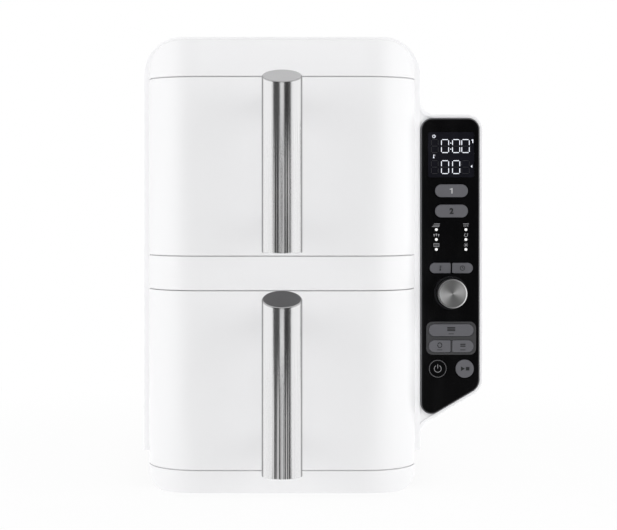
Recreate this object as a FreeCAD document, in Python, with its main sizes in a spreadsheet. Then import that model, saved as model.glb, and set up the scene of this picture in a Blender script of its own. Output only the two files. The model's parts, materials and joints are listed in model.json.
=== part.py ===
import FreeCAD, Part
import math
import os
import re

import Sketcher
from FreeCAD import Placement, Rotation, Vector

# A two-drawer stacked air fryer in millimetres, +Z up.
# Pieces are drawn about the body's centre plane (x = 0), the drawer-front plane (y = 0, +Y to the rear)
# and the counter (z = 0). What belongs to one drawer bay is drawn about that bay's mid height.
# Every piece is then placed so that the origin is the middle of the overall footprint.

DIMENSIONS = [
    ("body_x", -26.75, "centre plane of the body from the middle of the footprint"),
    ("body_y", -162.0, "drawer-front plane from the middle of the footprint"),
    ("shell_width", 237.0, "white sleeve, outside width"),
    ("shell_top", 385.0, "top of the sleeve"),
    ("shell_bottom", 32.0, "lower edge of the sleeve"),
    ("shell_front", 58.0, "front edge of the sleeve"),
    ("shell_back", 392.0, "rear edge of the sleeve"),
    ("shell_wall", 3.0, "wall of the sleeve"),
    ("shell_corner", 33.0, "upper corners of the sleeve"),
    ("boss_x", 108.0, "rear screw bosses, from the centre plane"),
    ("boss_low", 70.0, "height of the lower rear bosses"),
    ("boss_high", 340.0, "height of the upper rear bosses"),
    ("boss_radius", 8.5, "rear screw boss"),
    ("boss_length", 16.0, "rear screw boss"),
    ("screw_radius", 2.0, "shank of every screw"),
    ("screw_head", 3.8, "head radius of every screw"),
    ("screw_room", 0.15, "clearance around a shank"),
    ("wing_reach", 172.0, "right side of the control wing"),
    ("wing_top", 318.8, "top of the control wing"),
    ("wing_knee", 83.6, "height where the wing turns into its slanted underside"),
    ("wing_slope", 30.5, "slant of the underside, degrees"),
    ("wing_straight", 30.0, "depth of the wing before it narrows"),
    ("wing_depth", 118.0, "whole depth of the wing"),
    ("wing_root", 8.0, "overlap of the wing into the sleeve"),
    ("wing_top_corner", 13.0, "upper corner of the wing"),
    ("wing_knee_corner", 15.0, "corner at the knee"),
    ("wing_blend", 12.0, "blend between wing and sleeve"),
    ("shell_edge", 1.0, "rounding of the front and rear edges of the sleeve"),
    ("front_width", 224.6, "front block, width"),
    ("front_top", 378.2, "top of the front block"),
    ("front_bottom", 5.4, "underside of the front block"),
    ("front_corner", 45.0, "upright front corners, seen from above"),
    ("band_top_corner", 28.0, "upper corners seen from the front"),
    ("band_bottom_corner", 17.0, "lower corners seen from the front"),
    ("band_edge", 2.0, "rounding of the outer front edge"),
    ("band_reach", 0.5, "start of those corners beyond the sides, so that they meet the sides at an angle"),
    ("front_room", 0.4, "gap between the front block and the sleeve's lip"),
    ("frame_face", 56.0, "front of the frame plate behind the drawer fronts"),
    ("frame_back", 61.0, "back of the frame plate"),
    ("band_hollow", 88.0, "half width of the hollow in each band"),
    ("band_skin", 10.0, "depth left in front of that hollow"),
    ("upper_bay", 273.5, "mid height of the upper drawer bay"),
    ("lower_bay", 97.7, "mid height of the lower drawer bay"),
    ("bay_height", 148.2, "height of a drawer bay"),
    ("opening_width", 202.0, "opening in the frame plate"),
    ("opening_height", 124.0, "opening in the frame plate"),
    ("opening_corner", 8.0, "corners of that opening"),
    ("seam", 0.7, "visible gap above and below a drawer front"),
    ("seam_edge", 0.6, "rounding beside a visible gap"),
    ("panel_back", 55.4, "rear edge of a drawer front"),
    ("panel_wall", 3.0, "wall of a drawer front"),
    ("liner_front", 49.0, "front of the drawer liner"),
    ("liner_back", 52.0, "back of the drawer liner"),
    ("liner_room", 0.3, "gap around the drawer liner"),
    ("seal_back", 55.7, "back of the drawer seal"),
    ("seal_width", 5.5, "width of the drawer seal"),
    ("cavity_width", 208.0, "cooking chamber, outside"),
    ("cavity_height", 142.0, "cooking chamber, outside"),
    ("cavity_back", 345.0, "rear wall of the chamber"),
    ("cavity_wall", 0.8, "sheet of the chamber"),
    ("cavity_corner", 9.0, "corners of the chamber"),
    ("rail_inset", 96.5, "inner face of a drawer rail"),
    ("rail_low", 46.0, "underside of a drawer rail"),
    ("rail_high", 53.3, "top of a drawer rail"),
    ("rail_end", 286.0, "rear end of a drawer rail"),
    ("basket_width", 190.0, "basket, outside"),
    ("basket_low", -59.0, "underside of the basket"),
    ("basket_high", 55.0, "rim of the basket"),
    ("basket_back", 288.0, "rear wall of the basket"),
    ("basket_wall", 1.5, "sheet of the basket"),
    ("basket_corner", 22.0, "upright corners of the basket"),
    ("basket_foot", 10.0, "rounding at the basket's floor"),
    ("rim_width", 199.0, "width across the basket's rim"),
    ("rim_thick", 1.3, "thickness of the rim"),
    ("airway_width", 132.0, "air opening in the basket's rear wall"),
    ("airway_low", 5.0, "lower edge of that opening"),
    ("airway_corner", 8.0, "corners of that opening"),
    ("plate_width", 176.0, "crisper plate"),
    ("plate_front", 60.0, "front edge of the plate"),
    ("plate_back", 280.0, "rear edge of the plate"),
    ("plate_low", -44.0, "underside of the plate"),
    ("plate_thick", 1.6, "crisper plate"),
    ("plate_corner", 20.0, "corners of the plate"),
    ("plate_slot_length", 30.0, "slot in the plate"),
    ("plate_slot_width", 5.0, "slot in the plate"),
    ("plate_slot_pitch", 15.0, "from row to row"),
    ("plate_rows", 12, "rows of slots"),
    ("bumper_radius", 5.0, "rubber foot of the plate"),
    ("bumper_gap", 0.4, "play below the rubber feet"),
    ("rack_wire", 1.6, "radius of a cross wire"),
    ("rack_side_wire", 2.2, "radius of a side wire"),
    ("rack_half", 80.0, "side wires, from the centre plane"),
    ("rack_front", 72.0, "front end of the side wires"),
    ("rack_back", 268.0, "rear end of the side wires"),
    ("rack_top", 4.0, "axis height of the side wires"),
    ("rack_bend", 12.0, "bend of a side wire into its leg"),
    ("rack_overhang", 5.0, "cross wire beyond the side wire"),
    ("rack_wires", 11, "number of cross wires"),
    ("handle_axis", -57.0, "axis of the handle bar"),
    ("handle_radius", 16.0, "handle bar"),
    ("handle_wall", 2.0, "wall of the steel sleeve"),
    ("handle_low", 5.4, "lower end, above the lower edge of the drawer front"),
    ("handle_rise", 2.9, "rear of the slanted top, above the upper edge of the drawer front"),
    ("handle_slant", 20.3, "slope of the top, degrees"),
    ("handle_edge", 1.7, "rounding of the top edge"),
    ("handle_foot_edge", 0.8, "rounding of the lower edge"),
    ("cap_thick", 6.0, "upright thickness of the cap"),
    ("core_room", 0.2, "gap around the core"),
    ("post_width", 20.0, "stand-off post"),
    ("post_height", 20.0, "stand-off post"),
    ("post_offset", 50.0, "post height above and below mid height"),
    ("post_corner", 5.0, "rounded edges of a post"),
    ("fascia_front", 55.0, "front of the black control fascia"),
    ("fascia_back", 59.0, "back of the fascia"),
    ("fascia_left", 118.3, "left edge of the fascia"),
    ("fascia_room", 0.25, "gap around the fascia"),
    ("fascia_corner", 10.0, "upper corners of the fascia"),
    ("fascia_knee_corner", 12.0, "corner at the knee"),
    ("fascia_low_corner", 9.3, "lower corner"),
    ("fascia_edge", 1.6, "rounding of the front edge"),
    ("gusset_gap", 0.4, "gap behind the fascia to the plates that close its left corners"),
    ("gusset_thick", 2.0, "those plates"),
    ("gusset_reach", 14.0, "width of those plates from the fascia's left edge"),
    ("window_x", 144.25, "middle of the display window"),
    ("window_z", 284.15, "middle of the display window"),
    ("window_width", 39.7, "display window"),
    ("window_height", 39.1, "display window"),
    ("window_corner", 2.0, "display window"),
    ("window_depth", 0.3, "display below the face of the fascia"),
    ("key_proud", 0.6, "keys stand out of the fascia"),
    ("key_back", 61.0, "back of a key"),
    ("key_room", 0.25, "gap around a key"),
    ("key_edge", 0.35, "rounding of a key's face"),
    ("key_flange", 1.2, "retaining flange above and below"),
    ("key_flange_front", 59.5, "front of that flange"),
    ("dial_x", 144.1, "axis of the dial"),
    ("dial_z", 166.4, "axis of the dial"),
    ("dial_radius", 12.3, "dial"),
    ("dial_front", 39.5, "face of the dial"),
    ("dial_base", 54.3, "rear of the dial"),
    ("dial_edge", 0.9, "chamfer around the face"),
    ("collar_inner", 12.9, "low collar around the dial"),
    ("collar_outer", 14.4, "low collar around the dial"),
    ("collar_height", 1.4, "low collar around the dial"),
    ("spindle_radius", 3.0, "spindle of the dial"),
    ("spindle_fit", 0.05, "running clearance of the spindle"),
    ("spindle_end", 63.0, "inner end of the spindle"),
    ("bush_radius", 4.6, "bush of the encoder"),
    ("encoder_half", 7.0, "half width of the encoder"),
    ("encoder_front", 59.4, "front of the encoder"),
    ("board_front", 66.0, "front of the control board"),
    ("board_thick", 1.6, "circuit boards"),
    ("board_margin", 4.0, "control board inside the fascia's outline"),
    ("switch_half", 2.6, "half width of a key switch"),
    ("switch_front", 62.2, "front of a key switch"),
    ("light_radius", 1.1, "function light"),
    ("light_left", 131.7, "left column of lights"),
    ("light_right", 156.9, "right column of lights"),
    ("light_top", 220.3, "upper row of lights"),
    ("light_pitch", 8.45, "from row to row"),
    ("base_low", 5.6, "underside of the base tray"),
    ("base_high", 35.4, "rim of the base tray"),
    ("base_half", 108.0, "half width of the base tray"),
    ("base_front", 62.0, "front of the base tray"),
    ("base_back", 387.5, "rear of the base tray"),
    ("base_wall", 2.0, "wall of the base tray"),
    ("base_corner", 12.0, "upright corners of the tray"),
    ("base_edge", 5.0, "lower edges of the tray"),
    ("base_flange", 3.0, "thickness of the tray's flange"),
    ("base_flange_half", 115.1, "half width across the flange"),
    ("base_vent", 132.0, "first vent slot in the base tray"),
    ("foot_x", 90.0, "feet, from the centre plane"),
    ("foot_front", 92.0, "front feet"),
    ("foot_back", 360.0, "rear feet"),
    ("foot_radius", 11.0, "foot at the counter"),
    ("foot_top_radius", 12.5, "foot at the tray"),
    ("cover_front", 388.0, "inside of the rear cover"),
    ("cover_low", 35.8, "lower edge of the rear cover"),
    ("cover_room", 0.4, "gap around the rear cover"),
    ("vent_length", 96.0, "rear vent slot"),
    ("vent_width", 4.0, "rear vent slot"),
    ("vent_pitch", 8.5, "from slot to slot"),
    ("vent_rows", 9, "slots in each group"),
    ("spacer_x", 74.0, "wall spacers, from the centre plane"),
    ("spacer_low", 165.0, "lower end of a wall spacer"),
    ("spacer_high", 210.0, "upper end of a wall spacer"),
    ("spacer_half", 5.0, "half width of a wall spacer"),
    ("body_back", 397.0, "rear of the wall spacers"),
    ("gland_x", -72.0, "axis of the cord gland"),
    ("gland_z", 72.0, "axis of the cord gland"),
    ("gland_radius", 8.0, "neck of the cord gland"),
    ("gland_flange", 11.0, "flange of the cord gland"),
    ("gland_flange_thick", 4.0, "flange of the cord gland"),
    ("gland_bore", 4.0, "way through for a mains cord"),
    ("gland_front", 380.0, "inner end of the gland"),
    ("guard_front", 300.0, "perforated guard before the fan"),
    ("guard_thick", 1.2, "sheet of the guard"),
    ("guard_room", 0.4, "gap around the guard"),
    ("guard_leg", 3.0, "radius of a guard leg"),
    ("guard_leg_x", 92.0, "guard legs"),
    ("guard_leg_z", 56.0, "guard legs"),
    ("guard_slots", 20, "slots in the ring of the guard"),
    ("guard_slot_inner", 16.0, "inner end of a guard slot"),
    ("guard_slot_outer", 60.0, "outer end of a guard slot"),
    ("guard_slot_half", 1.8, "half width of a guard slot"),
    ("heater_y", 311.0, "plane of the heating element"),
    ("heater_tube", 3.25, "radius of its tube"),
    ("heater_outer", 60.0, "outer loop"),
    ("heater_inner", 46.0, "inner loop"),
    ("heater_start", -60.0, "angle where both loops end, degrees"),
    ("heater_sweep", 300.0, "turn of each loop, degrees"),
    ("heater_bend", 8.0, "bend into the terminals"),
    ("heater_end", 352.0, "end of the terminals"),
    ("terminal_x", 20.0, "opening for the terminals"),
    ("terminal_z", -50.0, "opening for the terminals"),
    ("terminal_half", 14.0, "opening for the terminals"),
    ("probe_x", 84.0, "temperature probe, from the centre plane"),
    ("probe_z", 46.0, "temperature probe, above mid height"),
    ("probe_radius", 2.2, "temperature probe"),
    ("probe_front", 308.0, "tip of the probe"),
    ("probe_back", 353.0, "rear end of the probe"),
    ("fan_front", 320.0, "front of the impeller"),
    ("fan_depth", 16.0, "impeller"),
    ("fan_radius", 42.0, "impeller"),
    ("fan_hub", 9.0, "hub of the impeller"),
    ("fan_sheet", 1.2, "sheet of the impeller"),
    ("fan_blades", 12, "blades of the impeller"),
    ("shaft_radius", 4.0, "fan shaft"),
    ("shaft_fit", 0.05, "running clearance of the shaft"),
    ("shaft_front", 317.0, "front end of the shaft"),
    ("shaft_back", 386.5, "rear end of the shaft"),
    ("motor_radius", 27.0, "motor can"),
    ("motor_front", 347.0, "motor can"),
    ("motor_back", 373.0, "motor can"),
    ("motor_boss", 9.0, "rear bearing boss"),
    ("motor_boss_back", 376.5, "rear bearing boss"),
    ("motor_plate_half", 40.0, "half length of the motor's plate"),
    ("motor_plate_tall", 22.0, "half height of the motor's plate"),
    ("cooler_front", 377.5, "cooling fan"),
    ("cooler_back", 385.5, "cooling fan"),
    ("cooler_hub", 11.0, "hub of the cooling fan"),
    ("cooler_radius", 36.0, "tip of a cooling blade"),
    ("cooler_blades", 7, "blades of the cooling fan"),
    ("power_left", -86.0, "left edge of the power board"),
    ("power_right", 44.0, "right edge of the power board"),
    ("power_front", 205.0, "front edge of the power board"),
    ("power_back", 300.0, "rear edge of the power board"),
    ("power_low", 351.0, "underside of the power board"),
]
SIZES = {alias: size for alias, size, meaning in DIMENSIONS}

# Nine keys: middle x, middle z, width, height, and whether the left and right ends are round.
KEYS = {
    "key_zone_1": (144.55, 253.4, 27.9, 10.8, True, True),
    "key_zone_2": (144.55, 236.15, 27.9, 10.8, True, True),
    "key_temperature": (134.9, 187.5, 17.8, 8.8, True, False),
    "key_time": (153.9, 187.5, 17.6, 8.8, False, True),
    "key_stack": (144.3, 134.55, 38.2, 10.3, True, True),
    "key_sync": (134.5, 120.85, 18.6, 10.3, True, False),
    "key_match": (154.25, 120.85, 18.3, 10.3, False, True),
    "key_power": (132.8, 101.7, 15.4, 15.4, True, True),
    "key_start": (155.8, 101.7, 15.4, 15.4, True, True),
}
SCREW_HOLE = "screw_radius + screw_room"
FRONT_CORNERS = ("front_corner", "front_corner", None, None)
ROUND_END = 0.49
SQUARE_END = 0.12
BAYS = ("upper", "lower")
TOLERANCE = 1e-3

doc = FreeCAD.newDocument("air_fryer")
sheet = doc.addObject("Spreadsheet::Sheet", "dims")
for row, (alias, size, meaning) in enumerate(DIMENSIONS, start=1):
    sheet.set(f"A{row}", meaning)
    sheet.set(f"B{row}", str(size))
    sheet.setAlias(f"B{row}", alias)
doc.recompute()
subparts = []


def cells(formula):
    """Return the formula with each dimension's name pointing at its cell."""
    return re.sub(r"[a-z][a-z_]+", lambda word: f"dims.{word[0]}" if word[0] in SIZES else word[0], formula)


def value(formula):
    """Return the number that a formula of dimensions gives."""
    return float(sheet.evalExpression(cells(formula)))


def place(piece, height="0"):
    """Move a finished sub-part from the body's own frame to the frame of the footprint."""
    for axis, formula in zip("xyz", ("body_x", "body_y", height)):
        piece.setExpression(f"Placement.Base.{axis}", cells(formula))
    subparts.append(piece)
    return piece


# Sketches, each on a plane of its body at a stated level along +X, +Y or +Z


def new_body(label):
    """Start a sub-part that is built up from sketched features."""
    return doc.addObject("PartDesign::Body", label)


def origin_item(body, role):
    """Return one plane or axis of a body's origin."""
    return next(item for item in body.Origin.OriginFeatures if item.Role == role)


def new_sketch(body, plane, level="0"):
    """Start a sketch on XY, XZ or YZ, moved along the axis square to it."""
    sketch = body.newObject("Sketcher::SketchObject", f"{body.Name}_sketch")
    sketch.AttachmentSupport = (origin_item(body, f"{plane}_Plane"), [""])
    sketch.MapMode = "FlatFace"
    sign = "-" if plane == "XZ" else ""
    sketch.setExpression("AttachmentOffset.Base.z", cells(f"{sign}({level})"))
    return sketch


def bind(sketch, kind, *target, formula):
    """Add one dimension to a sketch and tie it to a formula."""
    index = sketch.addConstraint(Sketcher.Constraint(kind, *target, value(formula)))
    sketch.setExpression(f"Constraints[{index}]", cells(formula))


def add_polygon(sketch, corners):
    """Draw a closed outline whose corners are given as pairs of formulas."""
    points = [Vector(value(across), value(up), 0) for across, up in corners]
    lines = [
        sketch.addGeometry(Part.LineSegment(start, end), False)
        for start, end in zip(points, points[1:] + points[:1])
    ]
    for line, following in zip(lines, lines[1:] + lines[:1]):
        sketch.addConstraint(Sketcher.Constraint("Coincident", line, 2, following, 1))
    for line, (across, up) in zip(lines, corners):
        bind(sketch, "DistanceX", -1, 1, line, 1, formula=across)
        bind(sketch, "DistanceY", -1, 1, line, 1, formula=up)


def add_rectangle(sketch, across, up, radii=(None, None, None, None)):
    """Draw a rectangle between two pairs of formulas.

    The radii go round from the lower left corner, counter-clockwise; None is a sharp corner.
    """
    left, right = across
    low, high = up
    ends = [(left, low), (right, low), (right, high), (left, high)]
    points = [Vector(value(first), value(second), 0) for first, second in ends]
    directions = [Vector(1, 0, 0), Vector(0, 1, 0), Vector(-1, 0, 0), Vector(0, -1, 0)]
    sizes = [value(radius) if radius else 0.0 for radius in radii]
    lines = []
    for side in range(4):
        following = (side + 1) % 4
        start = points[side] + directions[side] * sizes[side]
        end = points[following] - directions[side] * sizes[following]
        lines.append(sketch.addGeometry(Part.LineSegment(start, end), False))
    for line, kind in zip(lines, ("Horizontal", "Vertical", "Horizontal", "Vertical")):
        sketch.addConstraint(Sketcher.Constraint(kind, line))
    for corner in range(4):
        before = lines[corner - 1]
        after = lines[corner]
        if not radii[corner]:
            sketch.addConstraint(Sketcher.Constraint("Coincident", before, 2, after, 1))
            continue
        centre = points[corner] + (directions[corner] - directions[corner - 1]) * sizes[corner]
        start_angle = math.radians(90 * corner - 180)
        round_edge = Part.Circle(centre, Vector(0, 0, 1), sizes[corner])
        arc = sketch.addGeometry(Part.ArcOfCircle(round_edge, start_angle, start_angle + math.pi / 2), False)
        sketch.addConstraint(Sketcher.Constraint("Tangent", before, 2, arc, 1))
        sketch.addConstraint(Sketcher.Constraint("Tangent", arc, 2, after, 1))
        bind(sketch, "Radius", arc, formula=radii[corner])
    bind(sketch, "DistanceY", -1, 1, lines[0], 1, formula=low)
    bind(sketch, "DistanceX", -1, 1, lines[1], 1, formula=right)
    bind(sketch, "DistanceY", -1, 1, lines[2], 1, formula=high)
    bind(sketch, "DistanceX", -1, 1, lines[3], 1, formula=left)


def add_circle(sketch, across, up, radius):
    """Draw a circle about a centre given by two formulas."""
    centre = Vector(value(across), value(up), 0)
    circle = sketch.addGeometry(Part.Circle(centre, Vector(0, 0, 1), value(radius)), False)
    bind(sketch, "DistanceX", -1, 1, circle, 3, formula=across)
    bind(sketch, "DistanceY", -1, 1, circle, 3, formula=up)
    bind(sketch, "Radius", circle, formula=radius)


# Features, all of which run from their sketch along +X, +Y or +Z


def faces_back(sketch):
    """Say whether a sketch's own normal points against its axis, as on XZ."""
    return sketch.AttachmentSupport[0][0].Role == "XZ_Plane"


def grow(body, sketch, length):
    """Add the sketched outline to a body over a length."""
    feature = body.newObject("PartDesign::Pad", f"{body.Name}_pad")
    feature.Profile = sketch
    feature.Reversed = faces_back(sketch)
    feature.setExpression("Length", cells(length))
    doc.recompute()
    return feature


def cut_in(body, sketch, length):
    """Take the sketched outline out of a body over a length."""
    before = body.Shape.Volume
    feature = body.newObject("PartDesign::Pocket", f"{body.Name}_pocket")
    feature.Profile = sketch
    feature.Reversed = not faces_back(sketch)
    feature.setExpression("Length", cells(length))
    doc.recompute()
    if not body.Shape.Volume < before - TOLERANCE:
        raise RuntimeError(f"nothing was cut from {body.Name} by {feature.Name}")
    return feature


def repeat_round(body, feature, count):
    """Repeat a feature evenly about the Y axis."""
    pattern = body.newObject("PartDesign::PolarPattern", f"{body.Name}_ring")
    pattern.Originals = [feature]
    pattern.Axis = (origin_item(body, "Y_Axis"), [""])
    pattern.Angle = 360
    pattern.setExpression("Occurrences", cells(count))
    body.Tip = pattern
    doc.recompute()


def repeat_along(body, feature, role, pitch, count):
    """Repeat a feature along one of the body's axes."""
    pattern = body.newObject("PartDesign::LinearPattern", f"{body.Name}_row")
    pattern.Originals = [feature]
    pattern.Direction = (origin_item(body, role), [""])
    pattern.setExpression("Length", cells(f"{pitch} * ({count} - 1)"))
    pattern.setExpression("Occurrences", cells(count))
    body.Tip = pattern
    doc.recompute()


def on_planes(item, **planes):
    """Say whether every point of an edge or face lies on the stated x, y or z planes."""
    return all(
        abs(getattr(vertex.Point, axis) - value(formula)) < TOLERANCE
        for axis, formula in planes.items()
        for vertex in item.Vertexes
    )


def dress(body, kind, chosen, size):
    """Round or chamfer the chosen edges of a body."""
    base = body.Tip
    names = [f"Edge{number}" for number, edge in enumerate(base.Shape.Edges, start=1) if chosen(edge)]
    feature = body.newObject(f"PartDesign::{kind}", f"{body.Name}_{kind.lower()}")
    feature.Base = (base, names)
    feature.setExpression("Radius" if kind == "Fillet" else "Size", cells(size))
    doc.recompute()
    if not feature.isValid():
        raise RuntimeError(f"{feature.Name} failed on {names}")


def hollow(body, open_face, wall):
    """Turn a body into a shell with its skin inside the present outline and the chosen faces open."""
    base = body.Tip
    names = [f"Face{number}" for number, face in enumerate(base.Shape.Faces, start=1) if open_face(face)]
    feature = body.newObject("PartDesign::Thickness", f"{body.Name}_shell")
    feature.Base = (base, names)
    feature.Join = 1
    feature.Reversed = True
    feature.setExpression("Value", cells(wall))
    doc.recompute()
    if not feature.isValid():
        raise RuntimeError(f"{feature.Name} failed on {names}")


# Simple solids


def block(name, across, back, up):
    """Make a box between three pairs of formulas."""
    solid = doc.addObject("Part::Box", name)
    for axis, side, (low, high) in zip("xyz", ("Length", "Width", "Height"), (across, back, up)):
        solid.setExpression(side, cells(f"({high}) - ({low})"))
        solid.setExpression(f"Placement.Base.{axis}", cells(low))
    return solid


def rod(name, radius, start, length, axis="y"):
    """Make a cylinder from a start point along +X, +Y or +Z."""
    turns = {
        "x": Rotation(Vector(0, 1, 0), 90),
        "y": Rotation(Vector(1, 0, 0), -90),
        "z": Rotation(),
    }
    solid = doc.addObject("Part::Cylinder", name)
    solid.setExpression("Radius", cells(radius))
    solid.setExpression("Height", cells(length))
    solid.Placement = Placement(Vector(0, 0, 0), turns[axis])
    for letter, formula in zip("xyz", start):
        solid.setExpression(f"Placement.Base.{letter}", cells(formula))
    return solid


def join(label, solids):
    """Make one solid of several."""
    joined = doc.addObject("Part::MultiFuse", label)
    joined.Shapes = solids
    joined.Refine = True
    return joined


def group(label, solids):
    """Keep several separate solids as one sub-part."""
    together = doc.addObject("Part::Compound", label)
    together.Links = solids
    return together


def subtract(label, base, tool):
    """Take one solid out of another."""
    rest = doc.addObject("Part::Cut", label)
    rest.Base = base
    rest.Tool = tool
    rest.Refine = True
    return rest


def common(label, first, second):
    """Keep what two solids share."""
    shared = doc.addObject("Part::Common", label)
    shared.Base = first
    shared.Tool = second
    shared.Refine = True
    return shared


# Outlines that several pieces share


def wing_underside(across, inset="0"):
    """Return the height of the wing's slanted underside at x, moved inwards by an inset."""
    return f"wing_knee - (wing_reach - ({across})) * tan(wing_slope) + ({inset}) / cos(wing_slope)"


def panel_corners(inset, left):
    """Return the control panel's outline, inset from the wing's own, with its left side at x."""
    right = f"wing_reach - ({inset})"
    return [
        (left, f"wing_top - ({inset})"),
        (left, wing_underside(left, inset)),
        (right, wing_underside(right, inset)),
        (right, f"wing_top - ({inset})"),
    ]


def corner_edge(corner):
    """Return a chooser for the edges that run along Y through an outline's corner."""
    across, up = corner
    return lambda edge: on_planes(edge, x=across, z=up)


def either(*choosers):
    """Return a chooser that takes what any of several takes."""
    return lambda item: any(chooser(item) for chooser in choosers)


def slanted_top(body, drop, keep_below=True):
    """Cut a handle piece along the slanted plane of the bar's top, lowered by a drop."""

    def height(across):
        rise = f"({across} - handle_axis - handle_radius) * tan(handle_slant)"
        return f"bay_height / 2 + handle_rise + {rise} - ({drop})"

    near = "handle_axis - 2 * handle_radius"
    far = "handle_axis + 2 * handle_radius"
    limit = "bay_height" if keep_below else "-bay_height"
    sketch = new_sketch(body, "YZ", "-2 * handle_radius")
    add_polygon(sketch, [(near, height(near)), (far, height(far)), (far, limit), (near, limit)])
    cut_in(body, sketch, "4 * handle_radius")


# Housing


def shell_form(label, inset, front, back, bottom):
    """Make the solid form of the sleeve and its wing, all sides moved inwards by an inset."""
    body = new_body(label)
    side = f"shell_width / 2 - {inset}"
    round_top = (None, None, f"shell_corner - {inset}", f"shell_corner - {inset}")
    sketch = new_sketch(body, "XZ", front)
    add_rectangle(sketch, (f"-({side})", side), (bottom, f"shell_top - {inset}"), round_top)
    grow(body, sketch, f"({back}) - ({front})")

    corners = panel_corners(inset, f"{side} - wing_root")
    sketch = new_sketch(body, "XZ", front)
    add_polygon(sketch, corners)
    grow(body, sketch, f"shell_front + wing_depth - ({front})")
    dress(body, "Fillet", corner_edge(corners[3]), f"wing_top_corner - {inset}")
    dress(body, "Fillet", corner_edge(corners[2]), f"wing_knee_corner - {inset}")
    joints = [(side, f"wing_top - {inset}"), (side, wing_underside(side, inset))]
    dress(body, "Fillet", either(*map(corner_edge, joints)), f"wing_blend + {inset}")

    outside = "wing_reach + 1"
    narrowing = [
        (side, f"shell_front + wing_depth - 2 * {inset}"),
        (outside, f"shell_front + wing_straight - 2 * {inset}"),
        (outside, "shell_front + wing_depth + 1"),
        (side, "shell_front + wing_depth + 1"),
    ]
    sketch = new_sketch(body, "XY", "0")
    add_polygon(sketch, narrowing)
    cut_in(body, sketch, "shell_top + 1")
    return body


def soften_shell(body):
    """Round the front and rear edges of the sleeve's outline, but not its open underside."""

    def along_end(edge):
        on_end = on_planes(edge, y="shell_front") or on_planes(edge, y="shell_back")
        return on_end and not on_planes(edge, z="shell_bottom")

    dress(body, "Fillet", along_end, "shell_edge")


def make_gussets():
    """Make the two plates that close the wing beside the rounded left corners of the fascia."""
    middle = "shell_wall / 2"
    low = wing_underside("fascia_left", "shell_wall + fascia_room")
    heights = [
        ("wing_top - shell_wall - fascia_room - fascia_corner", "wing_top + wing_blend"),
        (f"{low} - wing_blend", f"{low} + 2 * fascia_low_corner"),
    ]
    depth = ("fascia_back + gusset_gap", "fascia_back + gusset_gap + gusset_thick")
    gussets = []
    for levels in heights:
        form = shell_form("gusset_form", middle, "shell_front - 1", "shell_back + 1", "shell_bottom - 1")
        slab = block("gusset_slab", ("fascia_left - 1", "fascia_left + gusset_reach"), depth, levels)
        gussets.append(common("gusset", form, slab))
    return gussets


def make_outer_shell():
    """Make the white sleeve with its front lip, its rear screw bosses and the control wing."""
    outside = shell_form("shell_outside", "0", "shell_front", "shell_back", "shell_bottom")
    inside = shell_form("shell_inside", "shell_wall", "shell_front - 1", "shell_back + 1", "shell_bottom - 1")
    soften_shell(outside)

    inner = new_body("shell_lip")
    side = "shell_width / 2"
    sketch = new_sketch(inner, "XZ", "shell_front")
    lip_corner = "shell_corner - shell_wall / 2"
    left = f"shell_wall / 2 - {side}"
    levels = ("shell_bottom", "shell_top - shell_wall / 2")
    add_rectangle(sketch, (left, "fascia_left - 0.3"), levels, (None, None, lip_corner, lip_corner))
    grow(inner, sketch, "shell_wall")
    sketch = new_sketch(inner, "XZ", "shell_front - 1")
    reach = "front_width / 2 + front_room"
    opening_corner = "band_top_corner + front_room - 2 * band_reach"
    opening_radii = (None, None, opening_corner, opening_corner)
    add_rectangle(sketch, (f"-({reach})", reach), ("0", "front_top + front_room"), opening_radii)
    cut_in(inner, sketch, "shell_wall + 2")

    bosses = []
    for sign in ("-", ""):
        for height in ("boss_low", "boss_high"):
            centre = (f"{sign}boss_x", "cover_front - boss_length", height)
            boss = rod("rear_boss", "boss_radius", centre, "boss_length")
            bore = rod("rear_bore", SCREW_HOLE, centre, "boss_length")
            bosses.append(subtract("rear_boss_tube", boss, bore))
    walls = subtract("shell_walls", outside, inside)
    place(join("outer_shell", [walls, inner, *make_gussets(), *bosses]))


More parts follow.
